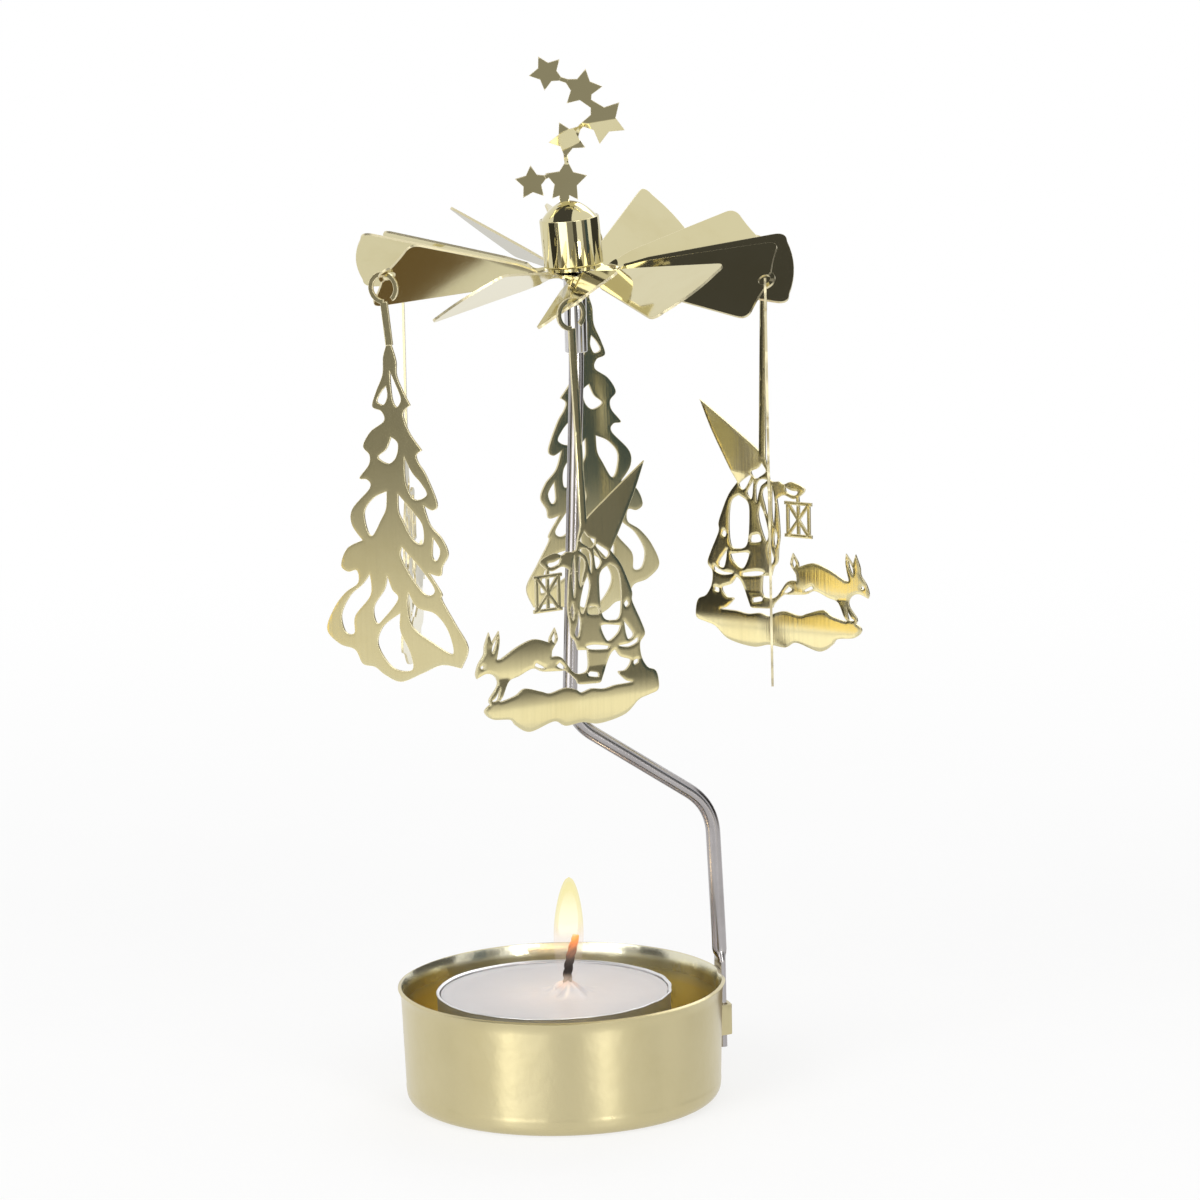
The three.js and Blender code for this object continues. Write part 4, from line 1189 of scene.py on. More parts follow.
@dataclass
class WireStand:
    """The bent wire: a foot pressed flat, a leg, a slant, and a mast with a pointed end.

    Attributes:
        press: How much the foot is stretched before its sides are cut flat at half_thick.
        narrow: Share of the radius that is lost at the point.
        sides: Corners of the wire's section.
    """

    radius: float = 1.2
    foot: float = 5.8
    flat_top: float = 20.6
    blend: float = 1.2
    half_thick: float = 0.5
    half_wide: float = 1.6
    leg_top: float = 46.6
    leg_lean: float = 0.9
    slant_rise: float = 16.4
    mast_lean: float = 2.7
    mast_upright: float = 121.5
    bend: float = 4.8
    point: float = 2.4
    press: float = 1.25
    narrow: float = 0.75
    sides: int = 28
    spacing: float = 0.5

    def _route(self) -> np.ndarray:
        """Centre line from the foot to the point.

        Returns:
            Points along the wire's middle.
        """
        corners = [(LAYOUT.leg_x, self.foot), (LAYOUT.leg_x, self.flat_top + self.blend),
                   (LAYOUT.leg_x - self.leg_lean, self.leg_top),
                   (LAYOUT.spin_x - self.mast_lean, self.leg_top + self.slant_rise),
                   (LAYOUT.spin_x, self.mast_upright), (LAYOUT.spin_x, LAYOUT.point_z)]
        spots = [np.array(c) for c in corners]
        stations = [spots[0]]
        for before, corner, after in zip(spots, spots[1:], spots[2:]):
            ways = [(far - corner) / math.dist(far, corner) for far in (before, after)]
            start, end = (corner + way * self.bend for way in ways)
            stations += rounded(start, corner, end, 14)
        stations = np.array([*stations, spots[-1]])
        points = [stations[0]]
        for a, b in zip(stations, stations[1:]):
            steps = max(1, int(math.dist(a, b) / self.spacing))
            points += [a + (b - a) * i / steps for i in range(1, steps + 1)]
        return np.array([(px, 0.0, pz) for px, pz in points])

    def _tree(self) -> NodeTree:
        """A tree that draws a wire along a route, presses its foot flat and points its end.

        Returns:
            The tree.
        """
        tree = NodeTree("drawn_wire")
        radius, material = tree.input("Radius", float), tree.input("Material", bpy.types.Material)
        leg, mast = tree.input("Leg", float), tree.input("Mast", float)
        thick, wide = tree.input("Half Thick", float), tree.input("Half Wide", float)
        wire = tree.tube(self.sides, radius)
        x, y, z = tree.split(tree.node("GeometryNodeInputPosition"))
        pressed = 1.0 - z.step(self.flat_top * MM, (self.flat_top + self.blend) * MM)
        tip = (z - (LAYOUT.point_z - self.point) * MM) / (self.point * MM)
        end = 1.0 - self.narrow * tip.high(0.0).low(1.0)
        flat = ((x - leg) * self.press).high(0.0 - thick).low(thick) + leg
        x = x + (flat - x) * pressed
        y = y * (1.0 + (wide / radius - 1.0) * pressed) * end
        x = (x - mast) * end + mast
        place = tree.vector(x, y, z)
        shaped = tree.node("GeometryNodeSetPosition", inputs={"Geometry": wire, "Position": place})
        smooth = tree.node("GeometryNodeSetShadeSmooth", inputs={"Geometry": shaped})
        tree.end(smooth, material)
        return tree

    def build(self, material: bpy.types.Material) -> bpy.types.Object:
        """The wire as one mesh.

        Args:
            material: The wire's finish.

        Returns:
            The wire.
        """
        route = self._route()
        piece = frame_mesh("stand_wire", route, [(i, i + 1) for i in range(len(route) - 1)])
        self._tree().run(piece, Radius=self.radius * MM, Material=material, Leg=LAYOUT.leg_x * MM,
                         Mast=LAYOUT.spin_x * MM, Half_Thick=self.half_thick * MM,
                         Half_Wide=self.half_wide * MM)
        piece.data.set_sharp_from_angle(angle=math.radians(50))
        return piece

    def dress(self) -> None:
        """Builds the wire and gives it its finish."""
        material = WIRE_STEEL.material()
        wear(self.build(material), material, "stand", "steel_wire", "stand_rod")


@dataclass(frozen=True)
class Vane:
    """How one vane is bent by hand, in degrees.

    Attributes:
        pitch: Twist that raises its leading edge.
        lift: Rise of its tip.
        turn: Turn about the hub.
    """

    pitch: float
    lift: float
    turn: float

    def bend(self, hub: float) -> Matrix:
        """From the flat sheet, with the vane along x, to the bent vane.

        Args:
            hub: Distance of the vane's neck from the axis.

        Returns:
            The change of place.
        """
        pitch, lift, turn = (math.radians(v) for v in (self.pitch, self.lift, self.turn))
        tilt = Matrix.Rotation(-lift, 4, "Y") @ Matrix.Rotation(pitch, 4, "X")
        root = Matrix.Translation((hub, 0, 0))
        return Matrix.Rotation(turn, 4, "Z") @ root @ tilt @ root.inverted()


@dataclass
class VaneWheel:
    """The wheel that the draught turns: twelve bent vanes cut from one sheet.

    Attributes:
        vanes: The vanes' bends, in their order round the hub.
        half_angle: Between a vane's middle and its side, in degrees.
        sweep: Half of the arc about a hole that the vane's end follows, in degrees.
        bulge: How far the end stands out between its corner and that arc.
        cupping: How far a vane's middle stands out of its sides, cup_half away, less cup_fall at its end.
        weld: Distance within which seams are joined.
    """

    vanes: tuple[Vane, ...] = (
        Vane(40.5, 3.0, 0.0), Vane(48.0, 7.5, 1.0), Vane(39.5, 4.0, -2.0), Vane(37.0, 6.0, -3.0),
        Vane(41.5, 0.5, -4.5), Vane(41.0, 5.2, -3.5), Vane(44.5, 5.5, 2.0), Vane(31.0, 0.5, 0.5),
        Vane(34.0, 0.5, 1.0), Vane(28.0, 1.0, 2.0), Vane(43.0, 0.5, 1.0), Vane(38.0, -0.5, 0.0),
    )
    radius: float = 35.2
    half_angle: float = 13.1
    corner: float = 2.2
    bore: float = 1.95
    hub: float = 6.6
    neck: float = 2.0
    neck_width: float = 3.0
    shoulder: float = 3.4
    hole: float = 1.0
    hole_place: float = 34.4
    hole_edge: float = 0.75
    sweep: float = 72.0
    bulge: float = 0.15
    facet: float = 0.3
    cupping: float = 0.06
    cup_half: float = 6.5
    cup_fall: float = 0.4
    weld: float = 0.004

    def _outline(self, holed: bool) -> list[list[Spot]]:
        """Rows of one twelfth of the wheel, its vane along x.

        Args:
            holed: Whether the vane has a hole near its tip.

        Returns:
            Rows of points that follow one another.
        """
        half = math.pi / len(self.vanes)
        slope = math.tan(math.radians(self.half_angle))
        root = math.sqrt(self.hub ** 2 - (self.neck_width / 2) ** 2)
        neck = self.hub + self.neck
        wide = neck + self.shoulder
        tip = self.radius * math.cos(math.radians(self.half_angle))
        inner = [polar(self.bore, turn) for turn in np.linspace(half, -half, 8)]
        turns = np.linspace(-half, -math.atan2(self.neck_width / 2, root), 4)
        under = [polar(self.hub, turn) for turn in turns]
        side = [(root, -self.neck_width / 2), (neck, -self.neck_width / 2), (wide, -wide * slope)]
        before, after = (tip - self.corner, (self.corner - tip) * slope), (tip, self.corner - tip * slope)
        corner = rounded(before, (tip, -tip * slope), after, 9)
        lower = [inner, [inner[-1], under[0]], under, side, [side[-1], before], corner]
        if holed:
            nose = arc((self.hole_place, 0.0), self.hole + self.hole_edge, -self.sweep, self.sweep, 16)
            flank = rounded(after, (tip + self.bulge, (after[1] + nose[0][1]) / 2), nose[0], 9)
            middle = [flank, nose, self._mirrored(flank)]
        else:
            middle = [rounded(after, (2 * self.radius - tip, 0), (after[0], -after[1]), 9)]
        return [*lower, *middle, *(self._mirrored(row) for row in lower[:0:-1])]

    @staticmethod
    def _mirrored(row: Points) -> list[Spot]:
        """A row on the other side of the vane, run the other way."""
        return [(x, -y) for x, y in row[::-1]]

    def _cup(self, places: np.ndarray) -> np.ndarray:
        """Cups a flat vane a little.

        Args:
            places: Points of the flat sheet.

        Returns:
            The points, moved along z.
        """
        x, y, z = places.T
        out = np.clip((x - self.hub - self.neck) / (self.radius - self.hub - self.neck), 0, 1)
        z = z + self.cupping * out * (1 - (y / self.cup_half) ** 2) * (1 - self.cup_fall * out ** 2)
        return np.column_stack([x, y, z])

    def _sector(self, name: str, holed: bool) -> bpy.types.Object:
        """One twelfth of the wheel, open along its seams.

        Args:
            name: The sector's name.
            holed: Whether its vane has a hole.

        Returns:
            The sector.
        """
        half = math.pi / len(self.vanes)

        def on_seam(flat: np.ndarray) -> np.ndarray:
            """Points on either straight side of the hub's sector."""
            turn = np.abs(np.arctan2(flat[:, 1], flat[:, 0]))
            return (np.abs(turn - half) < 1e-4) & (np.hypot(*flat.T) < self.hub + 1e-4)

        hole = np.array(arc((self.hole_place, 0.0), self.hole, 0, 360, 28)[:-1])
        steps = [pair for row in self._outline(holed) for pair in zip(row, row[1:])]
        sheet = CutSheet([loop(steps, self.facet)], [hole] if holed else [], soften=0.0, reach=0.3,
                         spacing=0.62, seams=on_seam)
        return sheet.solid(name, self._cup)

    def _tree(self) -> NodeTree:
        """A tree that sets sectors round a ring, bends each by its own angles and welds their seams.

        Returns:
            The tree.
        """
        tree = NodeTree("ring_of_vanes")
        hub, neck, weld = (tree.input(name, float) for name in ("Hub", "Neck", "Weld"))
        holed, plain = tree.input("Holed", bpy.types.Object), tree.input("Plain", bpy.types.Object)
        material = tree.input("Material", bpy.types.Material)
        odd = tree.node("GeometryNodeInputIndex") % 2.0
        rings = []
        for vane, chosen in ((holed, 1.0 - odd), (plain, odd)):
            shape = tree.node("GeometryNodeObjectInfo", inputs={"Object": vane}, output="Geometry")
            inputs = {"Points": tree.geometry(), "Selection": chosen, "Instance": shape}
            rings.append(tree.node("GeometryNodeInstanceOnPoints", inputs=inputs))
        joined = tree.tree.nodes.new("GeometryNodeJoinGeometry")
        for ring in reversed(rings):
            tree.feed(joined.inputs[0], ring)
        real = tree.node("GeometryNodeRealizeInstances", inputs={0: Term(tree, joined.outputs[0])})
        place = self._bent(tree, hub, neck)
        bent = tree.node("GeometryNodeSetPosition", inputs={"Geometry": real, "Position": place})
        whole = tree.node("GeometryNodeMergeByDistance", inputs={"Geometry": bent, "Distance": weld})
        tree.end(whole, material)
        return tree

    @staticmethod
    def _bent(tree: NodeTree, hub: Term, neck: Term) -> Term:
        """Where a point of a flat sector goes when its neck is twisted, lifted and turned.

        Args:
            tree: The tree.
            hub: Distance of the necks from the axis.
            neck: Length of the necks.

        Returns:
            The bent place.
        """
        x, y, z = tree.split(tree.node("GeometryNodeInputPosition"))
        share = ((x - hub) / neck).step(0.0, 1.0)
        around, pitch, lift, turn = (
            tree.node("GeometryNodeInputNamedAttribute", {"data_type": "FLOAT"}, {"Name": name})
            for name in ("around", "pitch", "lift", "turn"))
        pitch, lift, turn = pitch * share, lift * share, around + turn * share
        y, z = y * pitch.cosine() - z * pitch.sine(), y * pitch.sine() + z * pitch.cosine()
        out = x - hub
        x, z = hub + out * lift.cosine() - z * lift.sine(), out * lift.sine() + z * lift.cosine()
        return tree.vector(x * turn.cosine() - y * turn.sine(), x * turn.sine() + y * turn.cosine(), z)

    def build(self, material: bpy.types.Material) -> bpy.types.Object:
        """The wheel as one sheet, in its place.

        Args:
            material: The wheel's finish.

        Returns:
            The wheel.
        """
        sectors = [self._sector("vane_holed", True), self._sector("vane_plain", False)]
        piece = frame_mesh("vane_sheet", np.zeros((len(self.vanes), 3)), [])
        mark(piece.data, "around", np.radians([360.0 * i / len(self.vanes) for i in range(len(self.vanes))]))
        for name in ("pitch", "lift", "turn"):
            mark(piece.data, name, np.radians([getattr(vane, name) for vane in self.vanes]))
        self._tree().run(piece, Hub=self.hub * MM, Neck=self.neck * MM, Weld=self.weld * MM, Holed=sectors[0],
                         Plain=sectors[1], Material=material)
        for sector in sectors:
            bpy.data.objects.remove(sector)
        place = LAYOUT.spinner()
        place.translation *= MM
        piece.data.transform(place)
        piece.data.set_sharp_from_angle(angle=math.radians(CRISP))
        return piece

    def dress(self) -> None:
        """Builds the wheel and gives it its finish."""
        material = SHEET_GOLD.material()
        wear(self.build(material), material, "spinner", "gold_sheet", "vane_wheel")


@dataclass
class Hub:
    """The sleeve that turns on the wire's point, and the domed cap over it.

    Attributes:
        collar_round: Roundness of the collar's edges.
        collar_step: Height of the slope between the sleeve and its collar.
        dome_round: Power of the dome's curve.
        dome_sheet: Height between the dome's outside and its hollow.
        askew: How far the cap is seated askew, in degrees, about the direction askew_about.
        slot: Ranges of the topper's slot across, through and up from the dome's top.
    """

    sleeve: float = 1.8
    bore: float = 1.4
    below: float = 13.0
    above: float = 5.6
    crown: float = 0.6
    dimple: float = 1.2
    collar: float = 2.5
    collar_height: float = 0.6
    collar_round: float = 0.2
    collar_step: float = 0.3
    seat: float = 0.5
    cap: float = 4.8
    side: float = 7.6
    cap_sheet: float = 0.4
    foot: float = 0.7
    foot_step: float = 0.5
    dome_rise: float = 2.7
    dome_round: float = 2.1
    dome_sheet: float = 0.6
    askew: float = 4.5
    askew_about: tuple[float, float, float] = (-0.298, -0.955, 0.0)
    slot: tuple[Spot, ...] = ((-2.2, -0.4), (-0.35, 0.35), (-4.5, 2.0))
    steps: int = 96

    @property
    def dome_top(self) -> float:
        """Height of the dome's top."""
        return LAYOUT.wheel_z + self.seat + self.foot + self.side + self.dome_rise

    def _sleeve_profile(self) -> list[Spot]:
        """Sleeve with a rounded lower lip and a swaged collar.

        Returns:
            Radius and height of its rows.
        """
        z, lip = LAYOUT.wheel_z, (self.sleeve - self.bore) / 2
        low, seat = z - self.below, z - self.seat
        rows = [(0.0, z + self.above - self.crown), (self.bore, z + self.above - self.crown - self.dimple),
                (self.bore, low + lip)]
        rows += arc((self.bore + lip, low + lip), lip, 180, 360, 8)[1:]
        rows += [(self.sleeve, seat - self.collar_height - self.collar_step)]
        bend = self.collar_round
        rows += arc((self.collar - bend, seat - self.collar_height + bend), bend, -90, 0, 4)
        rows += arc((self.collar - bend, seat - bend), bend, 0, 90, 4)
        return rows + [(self.sleeve, seat), (self.sleeve, z + self.above), (0.0, z + self.above)]

    def _cap_profile(self) -> list[Spot]:
        """Cap with a narrower foot, a straight side, a sharp rim and a low dome, hollow below.

        Returns:
            Radius and height of its rows.
        """
        low, wall = LAYOUT.wheel_z + self.seat, self.cap
        foot, ring = low + self.foot, self.cap - self.foot_step
        top, inner = foot + self.side, ring - self.cap_sheet
        rows = [(inner, low), (ring, low), (ring, foot - 0.15)]
        rows += arc((wall - 0.35, foot + 0.2), 0.35, -80, 0, 6)
        rows += arc((wall - 0.12, top - 0.12), 0.12, 0, 120, 4)
        spring, sunk = wall - 0.3, 0.1
        shares = np.linspace(1, 0, 16)
        rises = (self.dome_rise + sunk) * (1 - shares ** self.dome_round)
        rows += [(spring * s, top - sunk + rise) for s, rise in zip(shares, rises)]
        hollow = top - sunk - self.dome_sheet
        rows += [(inner * s, hollow + rise) for s, rise in zip(shares[::-1], rises[::-1])]
        return rows + [(inner, low)]

    def _slot(self, piece: bpy.types.Object) -> None:
        """Cuts the slot for the topper's stem.

        Args:
            piece: The cap.
        """
        turn = LAYOUT.spinner() @ Matrix.Rotation(math.radians(LAYOUT.topper_turn), 4, "Z")
        up = self.dome_top - LAYOUT.wheel_z
        places = [tuple(turn @ Vector((x, y, z + up))) for x, y, z in product(*self.slot)]
        faces = [(0, 1, 3, 2), (4, 6, 7, 5), (0, 4, 5, 1), (2, 3, 7, 6), (0, 2, 6, 4), (1, 5, 7, 3)]
        cutter = finish_mesh("slot_cutter", np.array(places), faces)
        modify(piece, "BOOLEAN", operation="DIFFERENCE", solver="EXACT", object=cutter)
        freeze(piece)
        bpy.data.objects.remove(cutter)
        piece.data.set_sharp_from_angle(angle=math.radians(35))

    def dress(self) -> None:
        """Builds the sleeve and the cap and gives them their finishes."""
        axis = (LAYOUT.spin_x, 0.0)
        sleeve = finish_mesh("pivot_tube", *turned(self._sleeve_profile(), self.steps, axis))
        wear(sleeve, BRIGHT_STEEL, "spinner", "bright_steel", "pivot_sleeve")
        cap = finish_mesh("hub_cap", *turned(self._cap_profile(), self.steps, axis))
        seat = Matrix.Translation((LAYOUT.spin_x * MM, 0, (LAYOUT.wheel_z + self.seat) * MM))
        tilt = Matrix.Rotation(math.radians(self.askew), 4, Vector(self.askew_about))
        cap.data.transform(seat @ tilt @ seat.inverted())
        self._slot(cap)
        wear(cap, MIRROR_GOLD, "spinner", "gold_mirror", "spinner_cap")


@dataclass(frozen=True)
class Star:
    """One star of the topper.

    Attributes:
        radius: To its points.
        across: Sideways from the spinner's axis.
        up: Height of its middle.
        turn: In degrees, turning left seen from the front.
        fold: Direction in degrees in which it is bent.
        slope: How steeply the bent part leaves the sheet.
        start: Where the bend starts, as a share of its radius along that direction.
        end: Where it ends.
    """

    radius: float
    across: float
    up: float
    turn: float
    fold: float = 0.0
    slope: float = 0.0
    start: float = -1.0
    end: float = 1.0

    def corner(self, half: int, part: float) -> Spot:
        """A place at a part of its radius, counted in half points from its first point."""
        turn = math.radians(90 + self.turn + 36 * half)
        return polar(self.radius * part, turn, (self.across, self.up))

    def outline(self, waist: float, facet: float) -> np.ndarray:
        """Its five points."""
        corners = [self.corner(i, 1.0 if i % 2 == 0 else waist) for i in range(10)]
        return loop(list(zip(corners, corners[1:] + corners[:1])), facet)

    def link(self, other: Star, root: float, width: float) -> np.ndarray:
        """The short join between the nearest points of two stars.

        Args:
            other: The other star.
            root: Where it ends, as a share of the radius.
            width: Of the join.

        Returns:
            The join's four corners.
        """
        pairs = [(a, b) for a in range(0, 10, 2) for b in range(0, 10, 2)]
        a, b = min(pairs, key=lambda p: math.dist(self.corner(p[0], 1.0), other.corner(p[1], 1.0)))
        return bar(self.corner(a, root), other.corner(b, root), width)

    def lift(self, places: np.ndarray) -> np.ndarray:
        """How far points of the sheet are bent out by this star's bend.

        Args:
            places: Points of the flat sheet.

        Returns:
            A distance for each point.
        """
        away = places[:, :2] - (self.across, self.up)
        way = np.array([math.cos(math.radians(self.fold)), math.sin(math.radians(self.fold))])
        along = np.clip(away @ way / self.radius, self.start, self.end) - self.start
        near = np.clip(1.25 - np.linalg.norm(away, axis=1) / self.radius, 0, 0.25) * 4
        return self.slope * self.radius * along * near


@dataclass
class StarTopper:
    """Six linked stars cut from one sheet, with a stem in the cap's slot."""

    waist: float = 0.54
    link: float = 0.65
    link_root: float = 0.8
    stem: float = 1.6
    stem_place: float = -1.3
    stem_depth: float = 3.6
    facet: float = 0.3
    stars: tuple[Star, ...] = (
        Star(2.8, -6.4, 150.7, 4.0, 180.0, 0.02),
        Star(3.5, -1.0, 150.8, -4.0, 270.0, 0.03, -0.2, 1.0),
        Star(3.1, -0.5, 157.5, 26.0, -65.0, -0.26, -0.5, 0.45),
        Star(3.9, 5.1, 160.4, 28.0, -82.0, -0.25, 0.0, 1.1),
        Star(3.3, 1.9, 165.5, -12.0, 20.0, 0.015),
        Star(2.9, -3.6, 168.3, 27.0, 130.0, 0.05, 0.35, 1.0),
    )

    def dress(self, dome_top: float) -> None:
        """Builds the topper and gives it its finish.

        Args:
            dome_top: Height of the cap's dome.
        """
        solids = [star.outline(self.waist, self.facet) for star in self.stars]
        solids += [a.link(b, self.link_root, self.link) for a, b in zip(self.stars, self.stars[1:])]
        head = (self.stem_place, self.stars[1].up)
        solids.append(bar((self.stem_place, dome_top - self.stem_depth), head, self.stem))
        sheet = CutSheet(solids, soften=0.0, reach=0.3, spacing=0.26)
        turn = math.radians(LAYOUT.phase + LAYOUT.topper_turn)
        place = Matrix.Translation((LAYOUT.spin_x, 0, 0)) @ Matrix.Rotation(turn, 4, "Z")
        stand = moved(place @ Matrix.Rotation(math.pi / 2, 4, "X"))

        def bend(places: np.ndarray) -> np.ndarray:
            """Curls the stars, then stands the sheet up."""
            out = sum(star.lift(places) for star in self.stars)
            return stand(places + np.column_stack([0 * out, 0 * out, out]))

        wear(sheet.solid("star_sheet", bend), SHEET_GOLD, "spinner", "gold_sheet", "star_topper")


class Figure(Enum):
    """The two kinds of pendant."""

    GNOME = "gnome"
    TREE = "tree"


# The figures, drawn from the hook's centre. Rows of an outline are smooth curves that meet in corners.
TREE_OUTLINE = (
    ((0.5, -8.5), (0.9, -8.5)),
    ((0.9, -8.5), (1.9, -11.5), (2.0, -13.9), (3.1, -16.4), (4.3, -18.5)),
    ((4.3, -18.5), (3.2, -19.4), (3.1, -20.6), (4.2, -23.1), (6.2, -25.6)),
    ((6.2, -25.6), (5.2, -26.4), (5.6, -27.7), (6.9, -29.6), (8.7, -33.9), (7.9, -35.1), (6.3, -34.4)),
    ((6.3, -34.4), (7.4, -37.5), (9.4, -39.6), (10.4, -42.0), (9.3, -44.1), (8.9, -45.6), (6.9, -45.3)),
    ((6.9, -45.3), (9.0, -48.4), (9.0, -49.5), (11.2, -53.2), (13.3, -57.0), (12.0, -60.4)),
    ((12.0, -60.4), (8.6, -60.1), (5.0, -61.7), (1.2, -63.3), (-1.6, -62.4), (-3.4, -61.2), (-5.6, -60.8),
     (-6.9, -58.6), (-9.6, -57.8), (-11.8, -55.6), (-10.4, -52.0), (-8.2, -49.3), (-5.9, -47.6),
     (-6.0, -45.6), (-7.6, -45.9), (-8.8, -44.9), (-7.6, -42.1), (-4.8, -40.6)),
    ((-4.8, -40.6), (-6.6, -38.2), (-6.4, -35.6), (-3.2, -32.1), (-3.6, -30.8), (-5.0, -30.6), (-3.3, -28.4),
     (-3.1, -26.8), (-4.2, -25.4), (-2.8, -23.0), (-0.4, -21.2), (-0.8, -19.7), (-2.4, -19.0), (-1.7, -16.6),
     (-0.5, -13.8), (-0.3, -10.9), (0.5, -8.5)),
)
TREE_CUTS = (
    ((0.1, -15.6), (0.3, -17.2), (-0.4, -18.6), (-1.6, -18.2), (-0.9, -16.7)),
    ((0.8, -13.2), (1.9, -15.5), (2.7, -17.6), (1.9, -18.9), (1.2, -17.8), (0.9, -15.4)),
    ((0.8, -23.7), (2.0, -24.7), (1.6, -26.9), (0.2, -28.0), (-1.6, -27.1), (-0.1, -25.7)),
    ((3.1, -26.8), (4.4, -29.2), (6.0, -30.9), (6.9, -32.7), (4.6, -33.5), (3.2, -30.8)),
    ((-0.2, -32.5), (-2.6, -33.7), (-4.3, -36.0), (-3.8, -39.2), (-2.9, -39.7), (-1.4, -37.2), (-0.4, -35.2)),
    ((1.8, -32.8), (4.2, -35.3), (6.0, -37.6), (6.0, -40.5), (4.3, -40.1), (2.4, -36.9), (1.8, -35.4)),
    ((7.8, -39.5), (9.0, -41.4), (8.4, -43.1), (7.6, -42.6)),
    ((2.2, -41.3), (5.5, -44.7), (7.8, -47.9), (6.4, -48.9), (4.5, -47.2), (2.0, -43.2)),
    ((-3.7, -46.0), (-3.7, -49.4), (-6.6, -53.0), (-6.9, -55.8), (-8.5, -55.8), (-9.1, -53.0), (-7.4, -49.8),
     (-5.1, -47.8)),
    ((-0.6, -46.1), (0.2, -48.3), (1.2, -49.8), (-1.4, -53.0), (-2.8, -54.0), (-3.2, -51.4), (-1.2, -48.4)),
    ((1.5, -52.1), (1.4, -55.0), (3.0, -58.4), (3.2, -61.2), (-0.2, -61.1), (-2.7, -57.6), (-1.7, -54.5)),
    ((3.1, -48.6), (4.6, -51.0), (7.7, -51.8), (9.9, -54.4), (10.6, -58.1), (7.1, -56.6), (3.6, -54.2),
     (2.8, -50.9)),
)
GNOME_OUTLINE = (
    ((0.6, -32.8), (1.7, -32.3)),
    ((1.7, -32.3), (2.9, -31.3), (6.2, -28.8), (9.2, -26.6), (12.4, -24.3)),
    ((12.4, -24.3), (10.4, -29.2), (7.5, -34.9), (5.9, -37.8)),
    ((5.9, -37.8), (7.7, -40.1), (9.1, -43.2), (9.7, -45.0), (9.7, -46.4), (11.2, -49.7), (11.9, -51.8),
     (11.0, -53.2), (11.2, -55.4), (12.2, -57.2), (13.6, -57.9), (14.1, -59.3), (14.0, -61.1), (12.3, -61.7),
     (10.4, -62.3), (7.9, -64.3), (3.3, -65.2), (0.1, -64.6), (-2.9, -64.8), (-5.1, -63.8), (-9.4, -64.9),
     (-11.9, -63.6), (-13.0, -62.5), (-16.2, -62.0), (-17.6, -60.6), (-16.5, -59.6)),
    ((-16.5, -59.6), (-16.7, -58.8), (-15.1, -56.7), (-15.5, -55.3), (-17.0, -54.7), (-18.7, -55.3)),
    ((-18.7, -55.3), (-18.9, -54.5), (-18.4, -53.0), (-17.4, -51.6), (-17.2, -50.2), (-16.4, -48.2)),
    ((-16.4, -48.2), (-15.9, -49.9)),
    ((-15.9, -49.9), (-14.6, -48.2)),
    ((-14.6, -48.2), (-14.5, -50.0), (-15.1, -52.6)),
    ((-15.1, -52.6), (-14.4, -52.7), (-11.3, -51.1), (-8.3, -50.3), (-5.6, -51.1)),
    ((-5.6, -51.1), (-5.5, -50.4), (-4.5, -48.9)),
    ((-4.5, -48.9), (-4.0, -50.7), (-4.7, -51.9), (-5.1, -52.5), (-5.2, -53.5)),
    ((-5.2, -53.5), (-3.4, -53.8), (-1.3, -56.4), (0.4, -56.8), (1.4, -56.0), (1.3, -53.2)),
    ((1.3, -53.2), (-0.4, -53.0)),
    ((-0.4, -53.0), (-0.9, -51.5), (-1.6, -50.6), (-1.8, -48.4), (-2.1, -46.2), (-1.9, -42.5), (-1.6, -40.1)),
    ((-1.6, -40.1), (-3.0, -39.4), (-5.0, -39.9), (-6.9, -38.5), (-6.4, -37.7), (-4.3, -37.1), (-2.9, -37.6),
     (-2.1, -37.2), (-0.9, -37.3), (-0.3, -37.0)),
    ((-0.3, -37.0), (0.0, -35.4), (0.4, -33.9), (0.6, -32.8)),
)
